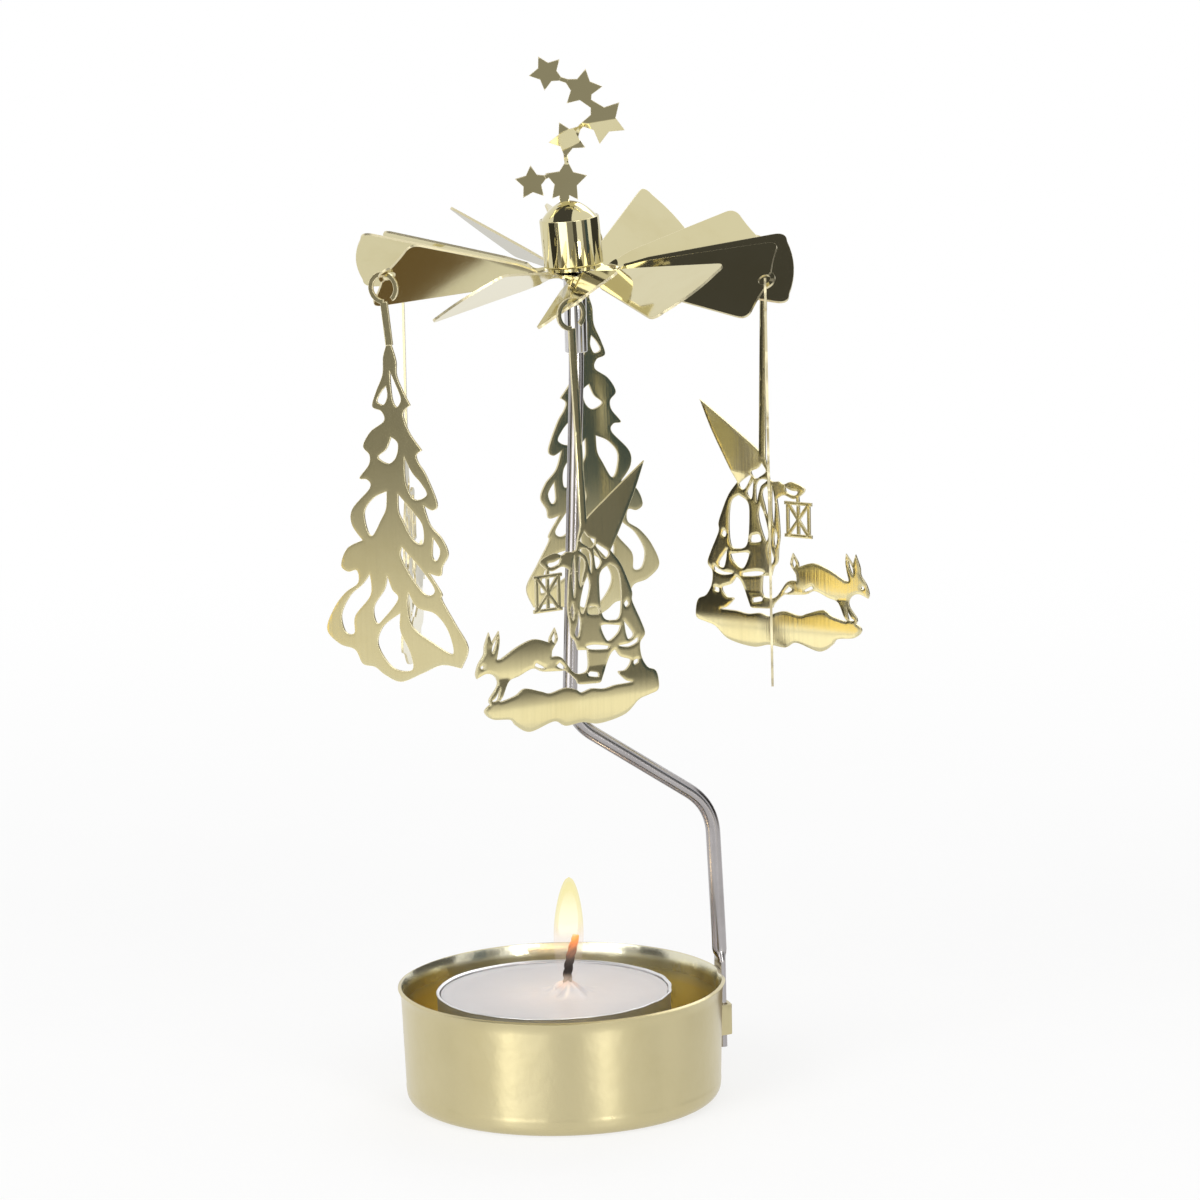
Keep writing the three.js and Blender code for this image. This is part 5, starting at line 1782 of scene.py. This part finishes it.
GNOME_CUTS = (
    ((6.4, -53.7), (5.4, -54.5), (3.9, -57.8), (3.4, -58.6), (1.8, -58.6), (-0.5, -58.4), (-0.9, -57.7),
     (-2.6, -56.1), (-3.9, -55.9), (-6.9, -55.6), (-8.7, -54.9), (-11.2, -55.8), (-13.0, -56.4),
     (-14.2, -58.6), (-14.7, -59.4), (-12.0, -58.8), (-10.2, -57.9), (-7.3, -58.7), (-5.7, -59.2),
     (-3.0, -58.7), (-1.0, -59.2), (0.0, -59.8), (1.8, -59.4), (4.1, -59.7), (6.2, -59.4), (9.2, -59.3),
     (8.2, -58.9), (6.8, -57.4), (8.2, -57.2), (9.2, -55.8), (7.4, -55.0)),
    ((1.2, -34.3), (0.4, -35.6), (1.4, -36.5), (2.5, -37.0), (3.2, -35.9), (2.0, -35.3)),
    ((3.5, -36.5), (3.3, -36.9), (4.7, -39.0), (5.6, -38.1)),
    ((2.8, -37.3), (3.2, -40.4), (4.1, -39.4)),
    ((0.1, -37.1), (1.0, -37.0), (1.9, -37.4), (2.4, -38.6), (2.3, -41.0), (1.9, -39.6), (1.4, -38.2),
     (0.7, -37.6)),
    ((0.2, -38.1), (0.9, -38.6), (1.2, -39.6), (0.7, -41.5), (0.3, -43.0), (-0.1, -40.5)),
    ((-0.7, -37.9), (-1.1, -39.8), (-1.2, -41.6), (-0.9, -44.6), (-0.6, -42.0)),
    ((-1.2, -45.4), (-1.6, -46.4), (-1.2, -48.2), (-0.9, -46.9)),
    ((1.6, -41.2), (0.8, -43.0), (0.1, -46.0), (0.6, -47.3), (1.5, -45.2), (2.0, -42.9)),
    ((-0.2, -46.8), (-0.5, -48.8), (-0.9, -50.2), (-0.3, -51.0), (0.2, -48.8)),
    ((5.7, -40.0), (4.1, -40.9), (3.7, -42.9), (4.2, -48.0), (6.1, -49.0), (7.4, -48.4), (7.7, -44.8),
     (7.2, -41.2)),
    ((8.7, -46.0), (8.2, -46.5), (8.5, -47.2), (9.1, -46.8)),
    ((3.4, -46.6), (1.9, -46.3), (1.6, -47.4), (3.5, -47.7)),
    ((8.1, -49.3), (8.4, -51.3), (8.9, -52.4), (9.8, -51.7)),
    ((7.5, -50.0), (4.4, -49.5), (3.9, -50.0), (5.1, -52.2), (6.9, -51.2)),
    ((10.6, -52.2), (9.0, -53.0), (7.1, -53.2), (9.0, -53.6), (10.6, -53.0)),
    ((5.2, -53.0), (2.6, -52.5), (1.1, -52.6), (2.1, -53.2), (5.0, -53.5)),
    ((3.1, -57.0), (1.6, -56.7), (1.4, -57.3), (3.2, -57.7)),
    ((10.6, -55.7), (9.8, -55.9), (9.8, -56.6), (10.6, -56.3)),
    ((-3.2, -38.0), (-4.4, -38.5), (-5.6, -38.6), (-5.0, -39.3), (-3.5, -38.9)),
    ((-4.6, -49.6), (-4.4, -50.6), (-4.7, -51.3), (-5.1, -50.6)),
    ((-14.95, -49.2), (-15.3, -50.6), (-15.9, -51.6), (-15.8, -50.4)),
    ((-14.7, -57.2), (-15.5, -58.6), (-16.2, -59.1), (-15.2, -59.1)),
    ((-3.7, -54.5), (-4.3, -55.0), (-3.4, -55.6), (-2.7, -55.6)),
    ((-8.0, -54.1), (-8.3, -54.5), (-7.0, -55.1), (-6.5, -55.0)),
)


@dataclass
class FigureSheet:
    """The flat sheet of one kind of figure: an open hook, a stem and the cut figure.

    Attributes:
        figure: Its kind.
        ring_gap: Opening of the hook's ring, in degrees.
        eye: Radius of the hare's eye, at eye_place.
        bank: How far the snow bank is pressed out, up to bank_half above and below the height bank_up.
        hare: How far the hare is pressed out, up to hare_half beside and above hare_place.
    """

    figure: Figure
    thickness: float = 0.4
    ring_inside: float = 1.85
    ring_band: float = 0.75
    ring_gap: float = 40.0
    stem: float = 1.2
    facet: float = 0.3
    eye: float = 0.3
    eye_place: Spot = (-17.7, -53.6)
    bank: float = 0.25
    bank_up: float = -60.6
    bank_half: float = 4.6
    hare: float = 0.06
    hare_place: Spot = (-11.5, -53.0)
    hare_half: Spot = (7.4, 2.9)

    def _hook(self, stem_end: Spot) -> list[np.ndarray]:
        """The open ring and the stem.

        Args:
            stem_end: Where the stem meets the figure.

        Returns:
            Loops of the ring and the stem.
        """
        start, end = -90.0, -450.0 + self.ring_gap
        outer = self.ring_inside + self.ring_band
        ring = arc((0, 0), outer, start, end, 56) + arc((0, 0), self.ring_inside, end, start, 48)
        top = (0.0, -self.ring_inside - self.ring_band / 2)
        down = np.array(stem_end) - top
        foot = np.array(stem_end) + down / np.linalg.norm(down) * self.stem / 2
        return [np.array(ring), bar(top, foot, self.stem)]

    @staticmethod
    def _lantern() -> list[np.ndarray]:
        """Plates, uprights and rays of the gnome's lantern.

        Returns:
            Loops of its bars.
        """
        middle, half, lid, width = np.array((-5.6, -43.3)), (2.0, 2.7), 2.6, 0.55
        lines = [((-lid, half[1]), (lid, half[1])), ((-lid, -half[1]), (lid, -half[1]))]
        lines.append(((0, -half[1]), (0, half[1])))
        for side in (-1, 1):
            lines.append(((side * half[0], -half[1]), (side * half[0], half[1])))
            lines.append(((-half[0], -side * half[1]), (half[0], side * half[1])))
        lines.append(((0, half[1]), (0.1, half[1] + 1.2)))
        return [bar(middle + a, middle + b, width) for a, b in lines]

    @cached_property
    def sheet(self) -> CutSheet:
        """The figure's sheet, filled once for all its copies."""
        tree = self.figure is Figure.TREE
        outline, cuts = (TREE_OUTLINE, TREE_CUTS) if tree else (GNOME_OUTLINE, GNOME_CUTS)
        holes = [loop([(*cut, cut[0])], self.facet) for cut in cuts]
        bars = self._hook((0.7, -8.5) if tree else (1.1, -32.9))
        if not tree:
            bars += self._lantern()
            holes.append(np.array(arc(self.eye_place, self.eye, 0, 360, 14)[:-1]))
        solids, soften = [loop(outline, self.facet)], 0.012 if tree else 0.03
        return CutSheet(solids, holes, bars, self.thickness, soften, reach=0.45, spacing=0.32)

    def relief(self, across: np.ndarray, up: np.ndarray) -> np.ndarray:
        """How far the gnome's snow bank and hare are pressed out of the sheet.

        Args:
            across: Places sideways.
            up: Heights.

        Returns:
            A distance for each place.
        """
        if self.figure is Figure.TREE:
            return np.zeros_like(up)
        bank = np.clip(1 - ((up - self.bank_up) / self.bank_half) ** 2, 0, 1)
        aside = (across - self.hare_place[0]) / self.hare_half[0]
        above = (up - self.hare_place[1]) / self.hare_half[1]
        return self.bank * bank + self.hare * np.clip(1 - aside ** 2 - above ** 2, 0, 1)


@dataclass
class Pendant:
    """One hanging figure.

    Attributes:
        drawing: The flat sheet that it is cut from.
        number: Its number among its kind.
        order: Its place round the wheel.
        bow: How far the middle of its sheet is bowed out.
        face: 1 if its relief is pressed outwards, -1 if inwards.
        yaw: How far its loose hook has turned, in degrees.
        hat: Slope of a gnome's bent hat.
        turn: Of the sheet against its vane, in degrees.
        clearance: Between the hook and the sheet that it hangs on.
        bow_top: Height at which the bow starts, and bow_height its length.
        hat_root: Where the bent hat starts sideways.
        hat_low: Height at which it starts, and hat_blend the height over which it does.
    """

    drawing: FigureSheet
    number: int
    order: int
    bow: float = 0.0
    face: int = 1
    yaw: float = 0.0
    hat: float = 0.0
    turn: float = 120.0
    clearance: float = 0.15
    bow_top: float = -8.0
    bow_height: float = 56.0
    hat_root: float = 1.7
    hat_low: float = -38.0
    hat_blend: float = 2.0

    @property
    def name(self) -> str:
        """The solid and the body that it stands for."""
        return f"{self.drawing.figure.value}_pendant_{self.number}"

    def _place(self) -> Matrix:
        """From the hook's centre to the frame: its top clears the strip of sheet beside the vane's hole.

        Returns:
            The hook's place.
        """
        wheel = VaneWheel()
        vane = wheel.vanes[self.order * len(wheel.vanes) // LAYOUT.pendants]
        bend, turn = vane.bend(wheel.hub), math.radians(self.turn + vane.turn)
        normal = bend.to_3x3() @ Vector((0, 0, 1))
        along = Vector((math.cos(turn), math.sin(turn), 0))
        slope = -normal.dot(along) / normal.z
        length = math.hypot(1, slope)
        strip = wheel.hole_edge / length
        back = -wheel.hole / length - strip / 2
        rise = slope * strip / 2 + self.drawing.thickness / 2 / normal.z + self.clearance
        drop = math.sqrt(self.drawing.ring_inside ** 2 - (strip / 2) ** 2)
        hole = bend @ Vector((wheel.hole_place, 0, 0))
        centre = hole + along * back + Vector((0, 0, back * slope + rise - drop))
        around = Matrix.Rotation(2 * math.pi * self.order / LAYOUT.pendants, 4, "Z")
        hang = Matrix.Translation(centre) @ Matrix.Rotation(turn + math.radians(self.yaw), 4, "Z")
        return LAYOUT.spinner() @ around @ hang @ Matrix.Rotation(math.pi / 2, 4, "X")

    def dress(self, material: bpy.types.Material) -> None:
        """Builds the pendant and gives it its finish.

        Args:
            material: The finish that all the figures share.
        """
        place = moved(self._place())

        def bend(places: np.ndarray) -> np.ndarray:
            """Bows the thin sheet a little and presses its relief, then hangs it up.

            Args:
                places: Points of the flat sheet.

            Returns:
                Their places in the frame.
            """
            across, up, out = places.T
            low = np.clip((self.bow_top - up) / self.bow_height, 0, 1)
            pressed = self.bow * np.sin(math.pi * low) + self.face * self.drawing.relief(across, up)
            high = np.clip((up - self.hat_low) / self.hat_blend, 0, 1)
            pressed = pressed + self.hat * np.clip(across - self.hat_root, 0, None) * high
            return place(np.column_stack([across, up, out + pressed]))

        piece = self.drawing.sheet.solid(f"{self.drawing.figure.value}_{self.number}", bend)
        wear(piece, material, self.name, "gold_sheet", self.name)


# How the pendants hang, in their order round the wheel: a gnome, a tree, and so on.
HUNG = (
    {"bow": 0.3, "face": -1, "yaw": -2.5, "hat": -0.07}, {"bow": -0.5, "face": -1}, {},
    {"bow": 0.5, "yaw": 2.5}, {"bow": 0.2}, {"yaw": -2.35},
)


@dataclass
class Tealight:
    """The tealight: shell, wax, braided wick and flame.

    Attributes:
        rim: Radius of the shell's turned-over rim.
        groove: Height of the shallow groove round the shell above its foot, and groove_depth its depth.
        mound: Height of the melted mound about the wick, and mound_reach its radius.
        wick: Radius of the wick, which starts wick_foot above the foot.
        lean: How far its tip leans over in the direction way, which is the photograph's right.
        stand: Where the tealight stands in the cup.
        wick_stand: Where the wick stands.
        steps: Steps around the shell and the wax.
        strands: Strands of the wick's braid, which turn twists times about its middle.
        strand_size: Radius of a strand as a share of the wick's.
        strand_out: Distance of a strand from the wick's middle, as a share of its radius.
    """

    foot: float = 0.9
    height: float = 17.3
    radius: float = 19.1
    wall: float = 0.35
    rim: float = 0.18
    corner: float = 1.4
    groove: float = 4.5
    groove_depth: float = 0.12
    wax_drop: float = 0.6
    wax_foot: float = 0.7
    wax_gap: float = 0.15
    mound: float = 2.6
    mound_reach: float = 5.0
    wick: float = 0.84
    wick_foot: float = 0.8
    wick_tip: float = 27.1
    lean: float = 1.6
    way: Spot = (0.955, -0.298)
    stand: Spot = (-1.15, 0.36)
    wick_stand: Spot = (0.95, -0.3)
    steps: int = 160
    strands: int = 3
    strand_size: float = 0.5
    strand_out: float = 0.44
    twists: float = 5.5

    @property
    def wax_top(self) -> float:
        """Height of the wax's flat."""
        return self.foot + self.height - self.wax_drop

    def _shell(self) -> bpy.types.Object:
        """The thin shell with its turned-over rim.

        Returns:
            The shell.
        """
        low, top = self.foot, self.foot + self.height
        base = self.radius - self.corner
        rows = [(0.0, low), (base, low)] + arc((base, low + self.corner), self.corner, -90, 0, 6)[1:]
        for step, depth in ((-0.5, 0.0), (0.0, self.groove_depth), (0.5, 0.0)):
            rows.append((self.radius - depth, low + (self.groove + step)))
        rows.append((self.radius, top - 2 * self.rim))
        rows += arc((self.radius, top - self.rim), self.rim, -90, 110, 10)
        inner = self.radius - self.wall
        rows += [(inner, top - 0.2), (inner, low + self.corner)]
        rows += arc((base, low + self.corner), self.corner - self.wall, 0, -90, 6)[1:]
        rows.append((0.0, low + self.wall))
        corners, faces = turned(rows, self.steps)
        turn = np.arctan2(corners[:, 1], corners[:, 0])
        high = np.clip((corners[:, 2] - top + 2.5) / 2.5, 0, 1)
        crimps = 0.0025 * np.sin(23 * turn) * (1 - np.cos(turn - 2.0))
        wavy = 1 + high * (0.0035 * np.sin(9 * turn + 0.6) + crimps)
        corners[:, :2] = corners[:, :2] * wavy[:, None] + self.stand
        return finish_mesh("tealight_cup", corners, faces)

    def _wax(self) -> bpy.types.Object:
        """The wax with a raised rim against the shell, a soft hollow and a lumpy mound about the wick.

        Returns:
            The wax.
        """
        low, top = self.foot + self.wax_foot, self.wax_top
        outer = self.radius - self.wall - self.wax_gap
        rows = [(0.0, low), (outer - self.corner, low), (outer, low + self.corner), (outer, top + 0.15)]
        rows += [(outer - 0.35, top + 0.22), (outer - 0.9, top + 0.08)]
        for reach in np.linspace(outer - 1.6, 0, 70):
            rows.append((float(reach), top - 0.2 * math.sin(math.pi * reach / outer)))
        corners, faces = turned(rows, self.steps)
        turn = np.arctan2(corners[:, 1], corners[:, 0])
        reach = np.hypot(corners[:, 0], corners[:, 1])
        face = np.where(corners[:, 2] > top - 1, np.clip((outer - reach) / 4, 0, 1), 0)
        corners[:, :2] += self.stand
        away = corners[:, :2] - self.wick_stand
        near, around = np.linalg.norm(away, axis=1), np.arctan2(away[:, 1], away[:, 0])
        lumps = 1 + 0.22 * np.sin(3 * around + 0.4) + 0.12 * np.sin(7 * around + near)
        cone = np.clip(1 - near / (self.mound_reach * lumps), 0, 1)
        corners[:, 2] += face * (self.mound * cone ** 1.8 + 0.07 * np.sin(2 * turn + reach * 0.35)
                                 + 0.05 * np.sin(5 * turn - reach * 0.5 + 1))
        return finish_mesh("wax_body", corners, faces, 60.0)

    def _wick_line(self, share: float) -> np.ndarray:
        """Middle of the wick from its foot to its bent tip.

        Args:
            share: Share of the wick's height.

        Returns:
            A place.
        """
        low = self.foot + self.wick_foot
        up = low + (self.wick_tip - low) * share
        out = max(0.0, (up - self.wax_top - self.mound) / (self.wick_tip - self.wax_top - self.mound))
        bow = self.lean * out ** 1.4
        return np.array([*(spot + way * bow for spot, way in zip(self.wick_stand, self.way)), up])

    def _braid(self, material: bpy.types.Material) -> bpy.types.Object:
        """Strands wound about the wick's middle, drawn along their routes by nodes.

        Args:
            material: The wick's finish.

        Returns:
            The wick.
        """
        corners, edges = [], []
        for strand in range(self.strands):
            shares = np.linspace(0, 1, 90)
            for i, share in enumerate(shares):
                turn = 2 * math.pi * (strand / self.strands + self.twists * share)
                taper = self.strand_out * self.wick * (1 - 0.5 * max(0.0, share - 0.9) / 0.1)
                offset = np.array([math.cos(turn), math.sin(turn), 0]) * taper
                if i:
                    edges.append((len(corners) - 1, len(corners)))
                corners.append(self._wick_line(share) + offset)
        piece = frame_mesh("wick_braid", np.array(corners), edges)
        tree = NodeTree("braided_wick")
        radius, dress = tree.input("Strand Radius", float), tree.input("Material", bpy.types.Material)
        strand = tree.tube(10, radius)
        tree.end(tree.node("GeometryNodeSetShadeSmooth", inputs={"Geometry": strand}), dress)
        return tree.run(piece, Strand_Radius=self.strand_size * self.wick * MM, Material=material)

    def _flame(self, glow: FlameGlow) -> bpy.types.Object:
        """A long shell with a blunt tip about the upper wick.

        Args:
            glow: The shell's light and size.

        Returns:
            The shell.
        """
        low, high = glow.bottom, glow.top - glow.bottom
        rows = []
        for share in np.linspace(0, 1, 44):
            swell = math.sin(math.pi * share ** 0.82) ** 0.5 if 0 < share < 1 else 0.0
            rows.append((glow.width / 2 * swell, low + high * share))
        corners, faces = turned(rows, 48)
        up = (corners[:, 2] - low) / high
        corners[:, :2] += np.array(self.wick_stand) + np.outer(0.15 + 0.5 * up, self.way)
        return finish_mesh(glow.part.value, corners, faces, 180.0)

    @staticmethod
    def _glows() -> list[FlameGlow]:
        """The light of each shell: thin and peach below, white in the middle, pale yellow at the tip.

        Returns:
            The shells, from the outside in.
        """
        pale, white, peach = tint(0.92, 0.82, 0.36), tint(1.0, 1.0, 0.94), tint(0.97, 0.72, 0.48)
        veil = FlameGlow(
            FlamePart.VEIL, 19.6, 36.9, 1.0,
            ((0.0, tint(0.8, 0.66, 0.6)), (0.3, tint(0.9, 0.72, 0.62)), (0.42, peach), (0.6, pale),
             (1.0, pale)),
            ((0.0, 0.03), (0.16, 0.04), (0.3, 0.15), (0.42, 0.18), (0.58, 0.40), (1.0, 0.55)), 4.9)
        mantle = FlameGlow(
            FlamePart.MANTLE, 21.5, 36.2, 1.1,
            ((0.0, peach), (0.35, tint(1.0, 0.86, 0.6)), (0.6, tint(1.0, 0.96, 0.74)), (1.0, pale)),
            ((0.0, 0.0), (0.38, 0.02), (0.55, 0.42), (0.8, 0.5), (1.0, 0.2)), 4.2)
        core = FlameGlow(
            FlamePart.CORE, 25.0, 34.6, 1.4, ((0.0, white), (1.0, white)),
            ((0.0, 0.0), (0.2, 0.0), (0.42, 0.8), (0.7, 0.6), (1.0, 0.0)), 3.2)
        return [veil, mantle, core]

    def dress(self) -> None:
        """Builds the pieces and gives them their finishes."""
        wear(self._shell(), SHELL_METAL, "tealight", "shell_aluminium", "tealight_shell")
        wear(self._wax(), CandleWax(wick=self.wick_stand), "tealight", "wax", "tealight_wax")
        material = CharredCotton(tip=self.wick_tip).material()
        wear(self._braid(material), material, "tealight", "charred_cotton", "wick")
        for glow in self._glows():
            piece = self._flame(glow)
            piece.visible_shadow = False
            wear(piece, glow, "tealight", "wax")
        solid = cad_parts["wick_sustainer"]
        solid.data.materials.clear()
        solid.data.materials.append(TIN.material())


@dataclass(frozen=True)
class Card:
    """A flat card or lamp that stands about the object, facing it.

    Attributes:
        name: Its name.
        turn: Direction from the object, in degrees to the right of the camera.
        rise: Direction above the horizon, in degrees.
        away: Distance from the object's middle.
        size: Width and height.
        level: Brightness of a card, or power of a lamp in watts.
        colour: Its colour.
        foot: Brightness of a card where it stands on the floor.
        fade: Height over which the foot's brightness goes over into the level.
        spin: Turn in its own plane, in degrees.
    """

    name: str
    turn: float
    rise: float
    away: float
    size: tuple[float, float]
    level: float
    colour: Colour = tint(1.0, 1.0, 1.0)
    foot: float | None = None
    fade: float = 60.0
    spin: float = 0.0

    def place(self, camera_turn: float, middle: float) -> Matrix:
        """Where it stands, its front along -z.

        Args:
            camera_turn: Turn of the camera about the object, in degrees.
            middle: Height that it faces.

        Returns:
            Its place, in metres.
        """
        turn = math.radians(camera_turn + self.turn)
        rise = math.radians(self.rise)
        way = Vector((math.sin(turn) * math.cos(rise), -math.cos(turn) * math.cos(rise), math.sin(rise)))
        spot = Matrix.Translation(way * self.away * MM + Vector((0, 0, middle * MM)))
        spin = Matrix.Rotation(math.radians(self.spin), 4, "Z")
        return spot @ way.to_track_quat("Z", "Y").to_matrix().to_4x4() @ spin


WALL = tint(0.95, 0.92, 0.86)
SNOW = tint(1.0, 0.97, 0.88)


def wall(name: str, turn: float, width: float, level: float, foot: float, fade: float = 60.0,
         colour: Colour = WALL) -> Card:
    """A card that stands on the floor at the object's side, brighter at its foot."""
    return Card(name, turn, 1.9, 300.0, (width, 200.0), level, colour, foot, fade)


@dataclass
class Studio:
    """Pale floor, soft light, cards that the metal mirrors, and the camera.

    Attributes:
        turn: Of the camera about the object, in degrees. The cards and lamps turn with it.
        away: Distance of the camera from the Z axis.
        height: Of the camera.
        pitch: How far it looks down, in degrees.
        yaw: How far it looks to the right, in degrees.
        roll: How far it is rolled, in degrees.
        lens: Its focal length on a 36 mm sensor.
        middle: Height at which the cards and lamps point.
        floor: Half the floor's width.
        bare: Share of the floor that is plain white to the eye beside the object. The rest takes its shadow.
        clear: Distances in metres from the Z axis between which that share grows to 1.
        soft: Strength of the world's light, which looks white to the eye.
        flame: Place of the candle's own light, and flame_power its power in watts.
        lamps: The lamps.
        cards: The cards.
    """

    turn: float = -17.33
    away: float = 998.0
    height: float = 278.4
    pitch: float = 11.09
    yaw: float = 0.448
    roll: float = -1.374
    lens: float = 188.73
    middle: float = 90.0
    floor: float = 4000.0
    bare: float = 0.72
    clear: Spot = (0.08, 0.5)
    soft: float = 0.62
    flame: tuple[float, float, float] = (1.5, -0.5, 30.0)
    flame_power: float = 0.004
    lamps: tuple[Card, ...] = (
        Card("key_lamp", -42.0, 32.0, 900.0, (500.0, 500.0), 2.6),
        Card("fill_lamp", 28.0, 34.0, 900.0, (350.0, 450.0), 1.5),
        Card("back_lamp", 160.0, 40.0, 1000.0, (700.0, 500.0), 2.2),
        Card("left_strip_lamp", -39.0, -2.0, 600.0, (100.0, 130.0), 0.42),
        Card("right_strip_lamp", 29.0, -2.0, 600.0, (100.0, 130.0), 0.45),
    )
    cards: tuple[Card, ...] = (
        Card("dark_top", -105.0, 73.0, 520.0, (470.0, 470.0), 0.09, tint(0.85, 0.84, 0.86)),
        Card("warm_back", 180.0, 35.0, 520.0, (200.0, 380.0), 0.42, tint(1.0, 0.86, 0.62)),
        wall("wall_left", -73.8, 152.0, 0.05, 1.9, 24.0),
        wall("wall_tree", -52.0, 74.0, 0.30, 1.1, 80.0),
        Card("strip_left", -28.0, 1.9, 300.0, (168.0, 200.0), 2.4),
        wall("wall_front", 1.0, 117.0, 0.39, 0.85, colour=tint(0.95, 0.93, 0.88)),
        wall("wall_near", 18.0, 74.0, 0.10, 0.85),
        wall("wall_teal", 64.8, 65.0, 0.09, 0.8, 45.0, tint(0.75, 1.1, 1.35)),
        wall("wall_right", 52.8, 61.0, 0.24, 1.0, 40.0),
        Card("snow_left", -66.6, -26.3, 171.4, (60.0, 28.0), 1.6, SNOW),
        Card("snow_right", 54.8, -20.1, 221.0, (60.0, 28.0), 1.35, SNOW),
        Card("gold_low", -61.0, -12.3, 303.0, (18.0, 36.0), 1.8, tint(1.0, 0.78, 0.28)),
        Card("brown_low", 134.5, -64.45, 93.1, (40.0, 14.0), 0.18, tint(1.0, 0.69, 0.33), spin=-53.0),
        Card("grey_back", 180.0, -11.0, 450.0, (260.0, 150.0), 0.70),
        wall("wall_far", 113.0, 280.0, 0.06, 0.7),
    )

    def _camera(self) -> None:
        """The camera at the photograph's angle."""
        yaw, pitch, roll = (math.radians(v) for v in (self.yaw, self.pitch, self.roll))
        turn = Matrix.Rotation(math.radians(self.turn), 3, "Z")
        level = math.cos(pitch)
        forward = turn @ Vector((math.sin(yaw) * level, math.cos(yaw) * level, -math.sin(pitch)))
        right = turn @ Vector((math.cos(yaw), -math.sin(yaw), 0))
        up = right.cross(forward)
        side = right * math.cos(roll) + up * math.sin(roll)
        top = up * math.cos(roll) - right * math.sin(roll)
        data = bpy.data.cameras.new("camera")
        data.lens = self.lens
        data.sensor_width = 36.0
        data.clip_start, data.clip_end = 0.05, 30.0
        camera = add("camera", data)
        matrix = Matrix((side, top, -forward)).transposed().to_4x4()
        matrix.translation = turn @ Vector((0, -self.away * MM, 0)) + Vector((0, 0, self.height * MM))
        camera.matrix_world = matrix
        bpy.context.scene.camera = camera

    @staticmethod
    def _seen(shader: Graph) -> Term:
        """1 for rays from the camera, a mirror or glass.

        Args:
            shader: The tree that asks.

        Returns:
            1 or 0.
        """
        path = shader.node("ShaderNodeLightPath")
        outputs = path.socket.node.outputs
        seen = path.high(Term(shader, outputs["Is Glossy Ray"]))
        return seen.high(Term(shader, outputs["Is Transmission Ray"]))

    def _floor(self) -> None:
        """A wide pale floor that keeps a soft shadow."""
        piece = plate("floor", 2 * self.floor, 2 * self.floor, -0.02)
        shader = Shader("pale_floor")
        speck = shader.noise(shader.place(), 30.0, 2.0)
        colour = shader.mix(speck, tint(0.88, 0.88, 0.88), tint(0.92, 0.92, 0.92))
        matt = shader.node("ShaderNodeBsdfDiffuse", inputs={"Color": colour})
        bright = shader.node("ShaderNodeEmission", inputs={"Strength": 1.0})
        x, y, _ = shader.split(shader.place())
        share = self.bare + ((x * x + y * y) ** 0.5).step(*self.clear) * (1.0 - self.bare)
        both = shader.node("ShaderNodeMixShader", inputs={0: self._seen(shader) * share, 1: matt, 2: bright})
        piece.data.materials.append(shader.end(both))

    def _world(self) -> None:
        """A white surround, softer as a light than as a background."""
        world = bpy.data.worlds.new("studio")
        bpy.context.scene.world = world
        world.use_nodes = True
        graph = Graph(world.node_tree)
        level = self.soft + self._seen(graph) * (1.0 - self.soft)
        back = graph.node("ShaderNodeBackground", inputs={"Color": tint(1.0, 1.0, 1.0), "Strength": level})
        graph.node("ShaderNodeOutputWorld", inputs={"Surface": back})

    def _lamp(self, card: Card) -> None:
        """One soft lamp.

        Args:
            card: Its place, size and power.
        """
        data = bpy.data.lights.new(card.name, "AREA")
        data.shape = "RECTANGLE"
        data.size, data.size_y = (s * MM for s in card.size)
        data.energy = card.level
        data.color = card.colour[:3]
        add(card.name, data).matrix_world = card.place(self.turn, self.middle)

    def _candle_light(self) -> None:
        """The small warm light of the flame."""
        data = bpy.data.lights.new("candle_light", "POINT")
        data.energy, data.color, data.shadow_soft_size = self.flame_power, (1.0, 0.72, 0.42), 2 * MM
        add("candle_light", data).location = Vector(self.flame) * MM

    def _card(self, card: Card) -> None:
        """One card, dark or bright, that only metal sees.

        Args:
            card: Its place, size and brightness.
        """
        piece = plate(card.name, *card.size)
        piece.data.transform(card.place(self.turn, self.middle))
        shader = Shader(card.name)
        colour = card.colour
        if card.foot is not None:
            _, _, z = shader.split(shader.place())
            bright = (part * card.foot / card.level for part in WALL[:3])
            colour = shader.mix(z.step(0.0, card.fade * MM), tint(*bright), card.colour)
        glow = shader.node("ShaderNodeEmission", inputs={"Color": colour, "Strength": card.level})
        piece.data.materials.append(shader.end(glow))
        for ray in ("camera", "diffuse", "transmission", "shadow", "volume_scatter"):
            setattr(piece, f"visible_{ray}", False)

    def build(self) -> None:
        """Builds the studio."""
        bpy.context.scene.view_settings.view_transform = "Standard"
        self._camera()
        self._world()
        self._floor()
        for lamp in self.lamps:
            self._lamp(lamp)
        self._candle_light()
        for card in self.cards:
            self._card(card)


def main() -> None:
    """Builds the studio and every piece of the holder."""
    logging.basicConfig(level=logging.INFO, format="%(message)s")
    Studio().build()
    Cup().dress()
    WireStand().dress()
    VaneWheel().dress()
    hub = Hub()
    hub.dress()
    StarTopper().dress(hub.dome_top)
    material = FIGURE_GOLD.material()
    drawings = [FigureSheet(Figure.GNOME), FigureSheet(Figure.TREE)]
    for order, hung in enumerate(HUNG):
        Pendant(drawings[order % 2], order // 2 + 1, order, **hung).dress(material)
    Tealight().dress()


if __name__ == "__main__":
    main()
